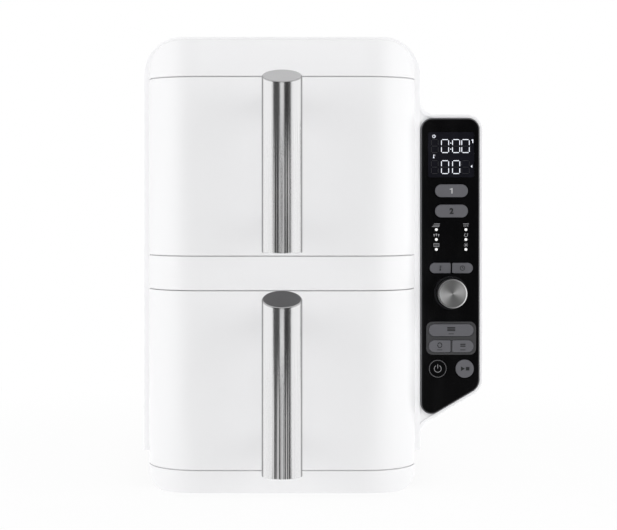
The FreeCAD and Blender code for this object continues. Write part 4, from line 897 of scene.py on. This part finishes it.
def mount(piece: bpy.types.Object, body: str, finish: Finish) -> None:
    """Fasten a finished piece to the body that carries it.

    Args:
        piece: The piece, in place.
        body: Name of the body.
        finish: Its finish.
    """
    finish.put_on(piece)
    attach(piece, body)
    LOG.info("%s rides on %s, %d faces", piece.name, body, len(piece.data.polygons))


@dataclass
class Housing:
    """All nodes of the model, dressed by their slots, with the black power key and the shell as exceptions;
    the shell carries painted light and shade.
    """

    special: dict[str, Finish] = field(default_factory=lambda: {
        "key_power": KEY_BLACK, "outer_shell": SHELL_WHITE})

    def dress(self) -> None:
        """Give every node its finish."""
        for row in frame["record"]["subparts"]:
            node = row["node"]
            finish = self.special.get(node) or SLOT_FINISHES.get(row["material_slot"], WHITE_PLASTIC)
            finish.put_on(frame["nodes"][node])
            LOG.info("node %s has finish %s", node, finish.name)


@dataclass
class SeamTrim:
    """White strips just inside the gaps above and below the drawer fronts."""

    gap: float = 0.7 * MM
    height: float = 0.4 * MM
    inset: float = 1.9 * MM
    width: float = 2.0 * MM
    corner: float = 45 * MM
    reach: float = 50 * MM

    def strip(self, name: str, bay: str, above: bool) -> bpy.types.Object:
        """Make one strip along the sides and the front.

        Args:
            name: Name of the strip.
            bay: The drawer bay beside it.
            above: True for the gap above the drawer front.

        Returns:
            The strip.
        """
        low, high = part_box(f"{bay}_drawer_front")
        level = high.z + self.gap - self.height if above else low.z - self.gap
        front = low.y + self.inset
        middle = Vector(((low.x + high.x) / 2, front + self.reach / 2, level))
        half = (high.x - low.x) / 2 - self.inset
        piece = Bench.sheet(name, middle, (2 * half, self.reach), Bench.FACING_UP)
        Bench.choose(piece, Element.VERT, lambda point: point.y < front + Bench.NEAR)
        bpy.ops.mesh.bevel(offset=self.corner - self.inset, segments=16, affect="VERTICES")
        bpy.ops.mesh.select_mode(type="FACE")
        bpy.ops.mesh.select_all(action="SELECT")
        bpy.ops.mesh.inset(thickness=self.width)
        inner = half - 2 * self.width

        def unwanted(point: Vector) -> bool:
            """Say whether a face is the middle one or lies at the rear."""
            centred = abs(point.x - middle.x) < inner / 8 and abs(point.y - middle.y) < self.reach / 3
            return centred or point.y > middle.y + self.reach / 2 - self.width

        Bench.choose(piece, Element.FACE, unwanted)
        bpy.ops.mesh.delete(type="FACE")
        Bench.thicken((0.0, 0.0, self.height))
        return Bench.named(name)

    def build(self) -> None:
        """Make the four strips."""
        strips = [self.strip(f"seam_{bay}_{above}", bay, above) for bay in BAYS for above in (True, False)]
        mount(Bench.join("seam_trim", strips), "housing", WHITE_PLASTIC)


@dataclass
class DrawerHandle:
    """The steel bar on a drawer."""

    bay: str
    cap: Colour
    slant: float = math.tan(math.radians(20.3))

    def dress(self) -> None:
        """Brush the sleeve and the cap as one bar, with a cap face whose tone is a painted reflection."""
        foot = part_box(f"{self.bay}_handle_sleeve")[0].z
        low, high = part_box(f"{self.bay}_handle_cap")
        steel = BarSteel(f"{self.bay}_bar_steel", cap=self.cap, axis=(low.x + high.x) / 2,
                         radius=(high.x - low.x) / 2, low=foot, high=high.z, rear=high.y, slant=self.slant)
        for part in ("sleeve", "cap"):
            steel.put_on(frame["nodes"][f"{self.bay}_handle_{part}"])
        LOG.info("%s handle brushed", self.bay)


@dataclass
class Dial:
    """The turned metal dial."""

    face_radius: float = 11.1 * MM
    face_depth: float = 0.12 * MM
    face_sunk: float = 0.05 * MM
    sides: int = 96
    edge_width: float = 0.15 * MM
    edge_depth: float = 0.03 * MM
    rings: int = 5
    ring_width: float = 10.2 / 5.4 * MM
    ring_fall: float = 0.004 * MM
    smooth_angle: float = math.radians(25)

    def build(self) -> None:
        """Make the faced disc on the dial's front."""
        low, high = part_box("dial")
        middle = Vector(((low.x + high.x) / 2, low.y + self.face_sunk, (low.z + high.z) / 2))
        centre = (middle.x, middle.z)
        # Both finishes carry painted highlights: two fanned beams on the face, and one beam on the rim
        # towards the right.
        turned = TurnedMetal("dial_metal", (0.62,) * 3, centre, 0.2 * MM, 0.4, 0.003 * MM, fan_highlight=0.52)
        rim = TurnedMetal("dial_rim", (0.46,) * 3, centre, 0.3 * MM, 0.36, 0.004 * MM,
                          fan_highlight=0.66, highlight_turn=-0.1, highlight_beams=1, highlight_focus=3.0)
        rim.put_on(frame["nodes"]["dial"])
        Bench.flat_circle("dial_face", middle, self.face_radius, self.sides)
        bpy.ops.mesh.extrude_region_move(TRANSFORM_OT_translate={"value": (0.0, -self.face_depth, 0.0)})
        bpy.ops.mesh.inset(thickness=self.edge_width, depth=self.edge_depth)
        for _ in range(self.rings):
            bpy.ops.mesh.inset(thickness=self.ring_width, depth=-self.ring_fall)
        bpy.ops.mesh.poke()
        bpy.ops.mesh.select_all(action="SELECT")
        bpy.ops.mesh.normals_make_consistent(inside=False)
        face = Bench.named("dial_face")
        bpy.ops.object.shade_smooth_by_angle(angle=self.smooth_angle)
        mount(face, "selector", turned)


@dataclass(frozen=True)
class Stroke:
    """One stroke of a sign. Its lengths are in units of the sign, and its place counts from the middle."""

    across: float
    up: float

    def shape(self, name: str, back: Vector, unit: float) -> bpy.types.Object:
        """Make the mesh of the stroke from the middle of its rear face and the length of a unit."""
        raise NotImplementedError


@dataclass(frozen=True)
class Bar(Stroke):
    """A bar whose corners are rounded by a share of its smaller side."""

    width: float
    height: float
    soft: float = 0.45

    def shape(self, name: str, back: Vector, unit: float) -> bpy.types.Object:
        """Make the mesh of the bar."""
        corner = min(self.width, self.height) * self.soft * unit
        return Bench.plate(name, back, (self.width * unit, self.height * unit), PRINT_DEPTH, (corner,) * 4)


@dataclass(frozen=True)
class Ring(Stroke):
    """A ring; its gap has a middle, counted from the right towards the top, and a half width in degrees."""

    radius: float
    width: float
    sides: int = 48
    gap: tuple[float, float] = (0.0, 0.0)

    def shape(self, name: str, back: Vector, unit: float) -> bpy.types.Object:
        """Make the mesh of the ring.

        Args:
            name: Name of the piece.
            back: Middle of its rear face.
            unit: Length of a unit.

        Returns:
            The piece.
        """
        piece = Bench.flat_circle(name, back, self.radius * unit, self.sides)
        bpy.ops.mesh.inset(thickness=self.width * unit)
        Bench.choose(piece, Element.FACE, lambda point: self.is_open((point - back) / unit))
        bpy.ops.mesh.delete(type="FACE")
        Bench.thicken(PRINT_MOVE)
        return Bench.named(name)

    def is_open(self, away: Vector) -> bool:
        """Say whether a place, counted from the middle, is in the hole or in the gap."""
        turn = math.degrees(math.atan2(away.z, away.x)) - self.gap[0]
        return away.length < self.radius / 4 or abs((turn + 180) % 360 - 180) < self.gap[1]


@dataclass(frozen=True)
class Disc(Stroke):
    """A disc or a regular polygon, turned about the front axis in radians and stretched across and up."""

    radius: float
    sides: int
    stretch: tuple[float, float] = (1.0, 1.0)
    turn: float = 0.0

    def shape(self, name: str, back: Vector, unit: float) -> bpy.types.Object:
        """Make the mesh of the disc.

        Args:
            name: Name of the piece.
            back: Middle of its rear face.
            unit: Length of a unit.

        Returns:
            The piece.
        """
        Bench.flat_circle(name, back, self.radius * unit, self.sides, self.turn)
        bpy.ops.transform.resize(value=(self.stretch[0], 1.0, self.stretch[1]), center_override=back)
        Bench.thicken(PRINT_MOVE)
        return Bench.named(name)


@dataclass(frozen=True)
class Numeral(Stroke):
    """A figure, one unit high."""

    text: str
    height_share: float = 0.7
    boldness: float = 0.07
    weld: float = 1e-7

    def shape(self, name: str, back: Vector, unit: float) -> bpy.types.Object:
        """Make the mesh of the figure.

        Args:
            name: Name of the piece.
            back: Middle of its rear face.
            unit: Length of a unit.

        Returns:
            The piece.
        """
        Bench.clear()
        bpy.ops.object.text_add()
        writing = bpy.context.object.data
        writing.body = self.text
        writing.size = unit / self.height_share
        writing.extrude = PRINT_DEPTH / 2
        writing.offset = unit * self.boldness
        writing.align_x = "CENTER"
        bpy.ops.object.convert(target="MESH")
        bpy.ops.object.mode_set(mode="EDIT")
        bpy.ops.mesh.select_all(action="SELECT")
        bpy.ops.mesh.remove_doubles(threshold=self.weld)
        piece = Bench.named(name)
        spots = [vertex.co for vertex in piece.data.vertices]
        middle = [(min(axis) + max(axis)) / 2 for axis in zip(*spots)]
        bpy.ops.object.mode_set(mode="EDIT")
        bpy.ops.mesh.select_all(action="SELECT")
        bpy.ops.transform.translate(value=tuple(-share for share in middle))
        Bench.named(name)
        piece.rotation_euler = Bench.FACING_FRONT
        piece.location = back + Vector(PRINT_MOVE) / 2
        return Bench.named(name)


Strokes = tuple[Stroke, ...]


def front_of(node: str) -> Vector:
    """Return the rear middle of a sign on the front of a node."""
    low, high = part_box(node)
    return Vector(((low.x + high.x) / 2, low.y + PRINT_SUNK, (low.z + high.z) / 2))


def draw(name: str, middle: Vector, strokes: Sequence[Stroke], unit: float) -> list[bpy.types.Object]:
    """Make the strokes of a sign.

    Args:
        name: Name of the sign.
        middle: Its rear middle.
        strokes: What it is made of.
        unit: Length of one of its units.

    Returns:
        One mesh for each stroke.
    """
    pieces = []
    for number, stroke in enumerate(strokes):
        back = middle + Vector((stroke.across, 0.0, stroke.up)) * unit
        pieces.append(stroke.shape(f"{name}_{number}", back, unit))
    return pieces


# Signs in units of their radius or height, from CLOCK to POINTER, and in millimetres from COLON on.
CLOCK = (Ring(0.0, 0.0, 1.0, 0.26, 32), Bar(0.0, 0.3, 0.26, 0.6), Bar(0.3, -0.052, 0.38, 0.26))
ONE = (Bar(0.08, 0.0, 0.2, 1.0), Bar(-0.14, 0.3, 0.36, 0.17))
TWO = (Numeral(0.0, 0.0, "2"),)
THERMOMETER = (
    Bar(0.0, 0.17, 0.153, 0.66), Disc(0.0, -0.33, 0.17, 20),
    Bar(0.272, 0.204, 0.187, 0.085), Bar(0.272, 0.391, 0.187, 0.085))
POINTER = (Disc(0.0, 0.0, 1.0, 3, (0.8, 1.2), -math.pi / 2),)
COLON = (Disc(0.0, -2.574, 0.46, 20), Disc(0.0, 2.574, 0.46, 20))
STACK = tuple(Bar(0.0, 0.9 + 1.25 * step, 7.0, 0.85) for step in (-1, 0, 1))
SYNC = (
    Ring(0.0, 0.55, 2.0, 0.7, gap=(90.0, 98.0)), Disc(-1.75, 0.65, 0.8, 3, turn=math.pi),
    Ring(0.0, 1.25, 2.0, 0.7, gap=(-90.0, 98.0)), Disc(1.75, 1.15, 0.8, 3))
MATCH = tuple(Bar(0.0, 0.9 + 0.8 * step, 4.6, 0.95) for step in (-1, 1))
LIGHT_BAR = (Bar(0.0, -3.1, 4.6, 0.85),)
POWER_RIM = (Ring(0.0, 0.0, 7.3, 0.22, 72),)
POWER = (Ring(0.0, 0.0, 3.2, 0.45, gap=(90.0, 33.0)), Bar(0.0, 1.9, 0.5, 3.6))
START = (Disc(-2.1, 0.0, 2.3, 3, turn=math.pi / 2), Bar(2.5, 0.0, 3.0, 3.0, 0.1))
AIR_FLOW = tuple(Bar(0.6 * step, 1.15 * step, 5.6 - 0.6 * step, 0.5) for step in (-1, 0, 1))
HIGH_HEAT = tuple(Disc(across, up, 1.15, 3, (0.75, 1.5), math.pi)
                  for across, up in ((-1.9, 0.0), (0.0, 0.35), (1.9, 0.0)))
OVEN = (
    *(Bar(0.0, up, 4.8, 0.5, 0.0) for up in (-1.25, 1.25)),
    *(Bar(across, 0.0, 0.5, 2.0, 0.0) for across in (-2.15, 2.15)),
    Bar(0.0, 0.0, 2.8, 0.5))
TOP_HEAT = (Bar(0.0, 1.15, 5.0, 0.5), *(Bar(across, -0.45, 0.5, 1.9) for across in (-1.6, 0.0, 1.6)))
AGAIN = (Ring(0.0, 0.0, 1.6, 0.5, 32, (60.0, 40.0)), Disc(1.3, 0.95, 0.8, 3, turn=0.5))
EIGHTHS = tuple(number * math.tau / 8 for number in range(8))
DRYING = (
    Disc(0.0, 0.0, 0.85, 24),
    *(Disc(1.5 * math.cos(angle), 1.5 * math.sin(angle), 0.3, 12) for angle in EIGHTHS))


@dataclass
class SegmentDisplay:
    """Seven-segment figures and small signs in the display window."""

    node: str = "display_module"
    thickness: float = 0.6 * MM
    soft: float = 0.25
    flat_gap: float = 0.95 * MM
    upright_gap: float = 1.75 * MM
    rows: dict[str, tuple[float, float]] = field(default_factory=lambda: {
        "time": (285.7 * MM, 297.4 * MM), "heat": (267.8 * MM, 279.4 * MM)})
    places: tuple[tuple[float, float], ...] = (
        (-17.1 * MM, -10.7 * MM), (-8.5 * MM, -1.75 * MM), (0.95 * MM, 7.7 * MM), (8.85 * MM, 15.85 * MM))
    lit: dict[str, tuple[int, ...]] = field(default_factory=lambda: {"time": (1, 2, 3), "heat": (1, 2)})
    small: tuple[tuple[str, float, float, float, Strokes], ...] = (
        ("time_sign", -14.6 * MM, 15.7 * MM, 1.4 * MM, CLOCK),
        ("temperature_sign", -14.8 * MM, -1.4 * MM, 3.2 * MM, THERMOMETER),
        ("zone_figure", 18.3 * MM, 11.6 * MM, 3.2 * MM, ONE),
        ("pointer", 17.6 * MM, -9.9 * MM, 1.15 * MM, POINTER),
        ("colon", -0.2 * MM, 7.4 * MM, MM, COLON))

    def figure(self, across: tuple[float, float], up: tuple[float, float], bars: str) -> list[Stroke]:
        """Lay out one figure.

        Args:
            across: Its left and right side.
            up: Its lower and upper edge.
            bars: Which bars it has, of "abcdefg".

        Returns:
            Its strokes.
        """
        left, right = across
        low, high = up
        half, quarter, level = self.thickness / 2, (high - low) / 4, (low + high) / 2
        flat = {"a": high - half, "g": level, "d": low + half}
        near, far = left + half, right - half
        sides = {"f": (near, 1), "b": (far, 1), "e": (near, -1), "c": (far, -1)}
        width, height = right - left - 2 * self.flat_gap, 2 * quarter - self.upright_gap
        strokes = []
        for bar in bars:
            if bar in flat:
                strokes.append(Bar((left + right) / 2, flat[bar], width, self.thickness, self.soft))
            else:
                edge, side = sides[bar]
                strokes.append(Bar(edge, level + side * quarter, self.thickness, height, self.soft))
        return strokes

    def build(self) -> None:
        """Make the unlit figures, the lit ones and the small signs."""
        window = front_of(self.node)
        lit, unlit = [], []
        for row, levels in self.rows.items():
            up = tuple(level - window.z for level in levels)
            for number, across in enumerate(self.places):
                shown = number in self.lit[row]
                lit += self.figure(across, up, "abcdef" if shown else "")
                unlit += self.figure(across, up, "g" if shown else "abcdefg")
        dark = draw("unlit", window, unlit, 1.0)
        mount(Bench.join("display_figures_unlit", dark), "housing", DIGIT_UNLIT)
        bright = draw("lit", window, lit, 1.0)
        for name, across, up, unit, strokes in self.small:
            bright += draw(name, window + Vector((across, 0.0, up)), strokes, unit)
        mount(Bench.join("display_figures", bright), "housing", DIGIT_LIT)


@dataclass(frozen=True)
class KeySign:
    """A sign on the front of a key."""

    name: str
    key: str
    finish: Finish
    unit: float
    strokes: Strokes

    def build(self) -> None:
        """Make the sign and let it ride on its key."""
        pieces = draw(self.name, front_of(f"key_{self.key}"), self.strokes, self.unit)
        mount(Bench.join(self.name, pieces), f"{self.key}_button", self.finish)


@dataclass
class KeyField:
    """The keys' signs and the grey surround of the lower three keys."""

    margin: float = 2.1 * MM
    radius: float = 5.2 * MM
    depth: float = 0.25 * MM
    sunk: float = 0.04 * MM
    edge: float = 0.12 * MM
    key_gap: float = 0.3 * MM
    key_flange: float = 1.2 * MM
    round_end: float = 0.49
    square_end: float = 0.12
    cutter_depth: float = 4 * MM
    signs: tuple[KeySign, ...] = (
        KeySign("zone_1_numeral", "zone_1", PRINT_WHITE, 4.8 * MM, ONE),
        KeySign("zone_2_numeral", "zone_2", PRINT_DARK, 4.6 * MM, TWO),
        KeySign("heat_sign", "temperature", PRINT_DARK, 4.6 * MM, THERMOMETER),
        KeySign("clock_sign", "time", PRINT_DARK, 2.2 * MM, CLOCK),
        KeySign("stack_sign", "stack", PRINT_DARK, MM, STACK),
        KeySign("sync_sign", "sync", PRINT_DARK, MM, SYNC),
        KeySign("match_sign", "match", PRINT_DARK, MM, MATCH),
        *(KeySign(f"{key}_light_bar", key, PRINT_FAINT, MM, LIGHT_BAR) for key in GROUPED_KEYS),
        KeySign("power_rim", "power", PRINT_GREY, MM, POWER_RIM),
        KeySign("power_symbol", "power", PRINT_GREY, MM, POWER),
        KeySign("start_sign", "start", PRINT_DARK, MM, START))

    def surround(self) -> None:
        """Make the surround: a rounded plate with an opening for each of its three keys."""
        flange = Vector((0.0, 0.0, self.key_flange))
        boxes = {}
        for key in GROUPED_KEYS:
            low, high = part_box(f"key_{key}")
            boxes[key] = (low + flange, high - flange)
        left = min(low.x for low, _ in boxes.values())
        right = max(high.x for _, high in boxes.values())
        bottom, top = boxes["sync"][0].z, boxes["stack"][1].z
        middle = Vector(((left + right) / 2, PANEL_FACE + self.sunk, (bottom + top) / 2))
        size = (right - left + 2 * self.margin, top - bottom + 2 * self.margin)
        depth, radii = self.depth + self.sunk, (self.radius,) * 4
        plate = Bench.plate("key_surround", middle, size, depth, radii, self.edge)
        cutters = [self.cutter(key, low, high) for key, (low, high) in boxes.items()]
        for cutter in cutters:
            Bench.clear()
            plate.select_set(True)
            bpy.context.view_layer.objects.active = plate
            opening = plate.modifiers.new(cutter.name, "BOOLEAN")
            opening.operation = "DIFFERENCE"
            opening.solver = "EXACT"
            opening.object = cutter
            bpy.ops.object.modifier_apply(modifier=opening.name)
            bpy.data.objects.remove(cutter)
        mount(plate, "housing", SURROUND_GREY)

    def cutter(self, key: str, low: Vector, high: Vector) -> bpy.types.Object:
        """Make the form that cuts the opening for one key, square at an end beside another key.

        Args:
            key: Name of the key.
            low: Lower corner of the key's box.
            high: Upper corner of the key's box.

        Returns:
            The form.
        """
        back = (low + high) / 2
        back.y = PANEL_FACE + self.cutter_depth / 2
        width, height = high.x - low.x + 2 * self.key_gap, high.z - low.z + 2 * self.key_gap
        left = height * (self.square_end if key == "match" else self.round_end)
        right = height * (self.square_end if key == "sync" else self.round_end)
        radii = (left, right, right, left)
        return Bench.plate(f"cutter_{key}", back, (width, height), self.cutter_depth, radii)

    def build(self) -> None:
        """Make the surround and the sign of each key."""
        self.surround()
        for sign in self.signs:
            sign.build()


@dataclass
class FunctionSigns:
    """A small sign above each of the six function lights, in two columns from the top down."""

    rise: float = 3.75 * MM
    columns: tuple[float, float] = (131.7 * MM, 156.9 * MM)
    levels: tuple[float, float, float] = (220.3 * MM, 211.85 * MM, 203.4 * MM)
    centre_plane: float = -26.75 * MM
    signs: tuple[tuple[Strokes, ...], ...] = ((AIR_FLOW, HIGH_HEAT, OVEN), (TOP_HEAT, AGAIN, DRYING))

    def build(self) -> None:
        """Make the six signs."""
        pieces = []
        for column, signs in zip(self.columns, self.signs):
            for level, strokes in zip(self.levels, signs):
                middle = Vector((column + self.centre_plane, PANEL_FACE + PRINT_SUNK, level + self.rise))
                pieces += draw("function_sign", middle, strokes, MM)
        mount(Bench.join("function_signs", pieces), "housing", PRINT_GREY)


@dataclass
class Studio:
    """Floor, surroundings, lamps, cards and camera."""

    floor_size: float = 14.0
    floor_drop: float = 0.2 * MM
    floor_tone: float = 0.93
    floor_glow: float = 0.92
    glow_fade: tuple[float, float] = (0.25, 0.7)
    table_glow: float = 0.5
    table_fade: tuple[float, float] = (0.25, 0.9)
    card_plane: float = -1.75
    ambient: float = 0.81
    lamp_power: float = 9.3
    right_gain: float = 1.12
    lamp_place: tuple[float, float, float] = (1.4, -0.8, 0.2)
    lamp_size: tuple[float, float] = (1.3, 1.7)
    lamp_aim: tuple[float, float, float] = (0.0, -0.05, 0.12)
    panel_lamp_power: float = 0.069
    panel_lamp_gap: float = 2 * MM
    panel_lamp_lift: float = 22 * MM
    gap_lamp_power: float = 0.0017
    gap_lamp_gap: float = 5 * MM
    eye: tuple[float, float, float] = (-26.75 * MM, -1527 * MM, 254 * MM)
    focal_px: float = 1664.6
    vanishing_px: tuple[float, float] = (282.0, 190.1)

    @staticmethod
    def shown_rays(shader: Shader) -> Wire:
        """Return 1 for the rays that see the background itself.

        Args:
            shader: The tree that asks.

        Returns:
            The mask.
        """
        kinds = ("Is Camera Ray", "Is Glossy Ray", "Is Transmission Ray")
        camera, glossy, through = (shader.node("ShaderNodeLightPath", {}, {}, kind) for kind in kinds)
        return shader.maths("MAXIMUM", shader.maths("MAXIMUM", camera, glossy), through)

    @staticmethod
    def shader_for(piece: bpy.types.Object) -> Shader:
        """Give a piece of the stage a material of its own.

        Args:
            piece: The piece.

        Returns:
            The empty tree of its material.
        """
        material = bpy.data.materials.new(piece.name)
        material.use_nodes = True
        piece.data.materials.append(material)
        return Shader(material.node_tree)

    def surroundings(self) -> None:
        """Make the world white to look at and even in its light."""
        world = bpy.data.worlds.new("studio_air")
        bpy.context.scene.world = world
        world.use_nodes = True
        shader = Shader(world.node_tree)
        lit = shader.node("ShaderNodeBackground", {}, {"Color": WHITE, "Strength": self.ambient})
        seen = shader.node("ShaderNodeBackground", {}, {"Color": WHITE, "Strength": 1.0})
        blend = shader.node("ShaderNodeMixShader", {}, {0: self.shown_rays(shader), 1: lit, 2: seen})
        shader.node("ShaderNodeOutputWorld", {}, {"Surface": blend})

    def floor(self) -> None:
        """Make a pale floor that keeps the shadow near the object and is white further off."""
        middle = Vector((0.0, 0.0, -self.floor_drop))
        floor = Bench.sheet("studio_floor", middle, (self.floor_size,) * 2, Bench.FACING_UP)
        shader = self.shader_for(floor)
        x, y, _ = shader.parts_of(shader.place())
        away = (x * x + y * y) ** 0.5
        shown = self.shown_rays(shader)
        white_share = self.floor_glow + away.ramp(*self.glow_fade) * (1 - self.floor_glow)
        table_share = (1.0 - away.ramp(*self.table_fade)) * self.table_glow
        mask = shown * white_share + (1.0 - shown) * table_share
        matt = shader.node("ShaderNodeBsdfDiffuse", {}, {"Color": (*(self.floor_tone,) * 3, 1.0)})
        white = shader.node("ShaderNodeEmission", {}, {"Color": WHITE, "Strength": 1.0})
        blend = shader.node("ShaderNodeMixShader", {}, {0: mask, 1: matt, 2: white})
        shader.node("ShaderNodeOutputMaterial", {}, {"Surface": blend})
        LOG.info("floor of %.0f m", self.floor_size)

    def card(self, name: str, place: Vector, size: tuple[float, float], brightness: float,
             rotation: tuple[float, float, float], taper: float = 1.0) -> None:
        """Make a card that only polished surfaces see.

        Args:
            name: Name of the card.
            place: Its middle.
            size: Width and height.
            brightness: How bright it looks in a reflection.
            rotation: Its turn.
            taper: Width of its far edge as a share of the near one.
        """
        card = Bench.sheet(name, place, size, rotation)
        Bench.choose(card, Element.VERT, lambda point: point.y > place.y + Bench.NEAR)
        bpy.ops.transform.resize(value=(taper, 1.0, 1.0), center_override=place)
        Bench.named(name)
        shader = self.shader_for(card)
        glow = shader.node("ShaderNodeEmission", {}, {"Color": (*(brightness,) * 3, 1.0), "Strength": 1.0})
        shader.node("ShaderNodeOutputMaterial", {}, {"Surface": glow})
        card.visible_camera = False
        card.visible_diffuse = False
        card.visible_shadow = False
        card.visible_transmission = False

    def cards(self) -> None:
        """Set dark and pale cards before the object, upright and on the floor, and bright ones beside it."""
        upright, flat, turned = Bench.FACING_FRONT, Bench.FACING_UP, Bench.FACING_SIDE
        middle, plane = self.eye[0], self.card_plane
        for side in (-1, 1):
            place = Vector((middle + side * 1.12, plane, 0.75))
            self.card(f"dark_card_{side}", place, (1.6, 1.7), 0.08, upright)
            self.card(f"bright_card_{side}", Vector((side * 1.9, 0.0, 0.9)), (2.6, 2.2), 1.25, turned)
        self.card("dark_middle_card", Vector((middle, plane, 0.205)), (0.64, 0.21), 0.1, upright)
        self.card("pale_middle_card", Vector((middle, plane, 0.955)), (0.64, 1.29), 1.05, upright)
        self.card("panel_flag", Vector((middle + 0.34, -1.0, 0.22)), (0.34, 0.46), 0.02, upright)
        self.card("bright_floor_card", Vector((middle, -0.4, 0.2 * MM)), (4.4, 2.7), 1.22, flat)
        self.card("dark_floor_card", Vector((middle, -1.0, 0.5 * MM)), (3.84, 1.5), 0.08, flat, 0.026)
        self.card("pale_floor_card", Vector((middle, -1.425, 1.0 * MM)), (0.66, 0.65), 1.7, flat, 0.58)

    @staticmethod
    def area_lamp(name: str, place: Vector, aim: Vector, size: tuple[float, float], power: float) -> None:
        """Set a lamp that polished surfaces don't show.

        Args:
            name: Name of the lamp.
            place: Its middle.
            aim: The direction that it faces.
            size: Width and height.
            power: Its power in watts.
        """
        rotation = aim.to_track_quat("-Z", "Y").to_euler()
        bpy.ops.object.light_add(type="AREA", location=place, rotation=rotation)
        lamp = bpy.context.object
        lamp.name = name
        lamp.data.shape = "RECTANGLE"
        lamp.data.size, lamp.data.size_y = size
        lamp.data.energy = power
        lamp.visible_glossy = False
        lamp.visible_camera = False

    def lamps(self) -> None:
        """Set one large soft lamp on each side."""
        x, y, z = self.lamp_place
        for side in (-1, 1):
            place = Vector((side * x, y, z))
            power = self.lamp_power * (self.right_gain if side > 0 else 1.0)
            self.area_lamp(f"side_lamp_{side}", place, Vector(self.lamp_aim) - place, self.lamp_size, power)

    def panel_lamps(self) -> None:
        """Set two weak lamps that make up for the light that the dark panel keeps from what is near."""
        low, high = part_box("control_fascia")
        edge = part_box("front_frame")[1].x
        gap = Vector(((edge + low.x) / 2, PANEL_FACE - self.gap_lamp_gap, (low.z + high.z) / 2))
        strip = (low.x - edge, high.z - low.z)
        self.area_lamp("gap_lamp", gap, Vector((0.0, 1.0, 0.0)), strip, self.gap_lamp_power)
        low.z += self.panel_lamp_lift
        place = Vector(((low.x + high.x) / 2, PANEL_FACE - self.panel_lamp_gap, (low.z + high.z) / 2))
        size = (high.x - low.x, high.z - low.z)
        self.area_lamp("panel_lamp", place, Vector((0.0, -1.0, 0.0)), size, self.panel_lamp_power)

    def camera(self) -> None:
        """Set a level camera in front, framed as the photograph is."""
        bpy.ops.object.camera_add(location=self.eye, rotation=Bench.FACING_FRONT)
        camera = bpy.context.object
        camera.name = "front_camera"
        camera.data.sensor_width = SENSOR_MM
        camera.data.lens = self.focal_px / IMAGE_WIDTH_PX * SENSOR_MM
        camera.data.shift_x = (IMAGE_WIDTH_PX / 2 - self.vanishing_px[0]) / IMAGE_WIDTH_PX
        camera.data.shift_y = (self.vanishing_px[1] - IMAGE_HEIGHT_PX / 2) / IMAGE_WIDTH_PX
        camera.data.clip_start = 0.05
        camera.data.clip_end = 50.0
        bpy.context.scene.camera = camera

    def build(self) -> None:
        """Set the whole stage."""
        bpy.context.scene.view_settings.view_transform = "Standard"
        self.surroundings()
        self.floor()
        self.cards()
        self.lamps()
        self.panel_lamps()
        self.camera()


def main() -> None:
    """Build the stage, dress the nodes and add the pieces in order."""
    logging.basicConfig(level=logging.INFO, format="%(name)s: %(message)s")
    Studio().build()
    Housing().dress()
    # Each handle's cap face carries a painted reflection: light on the upper, dark on the lower.
    for bay, cap in zip(BAYS, (CAP_PAINTED_LIGHT, CAP_PAINTED_SHADE)):
        DrawerHandle(bay, cap).dress()
    SeamTrim().build()
    Dial().build()
    SegmentDisplay().build()
    KeyField().build()
    FunctionSigns().build()


if __name__ == "__main__":
    main()
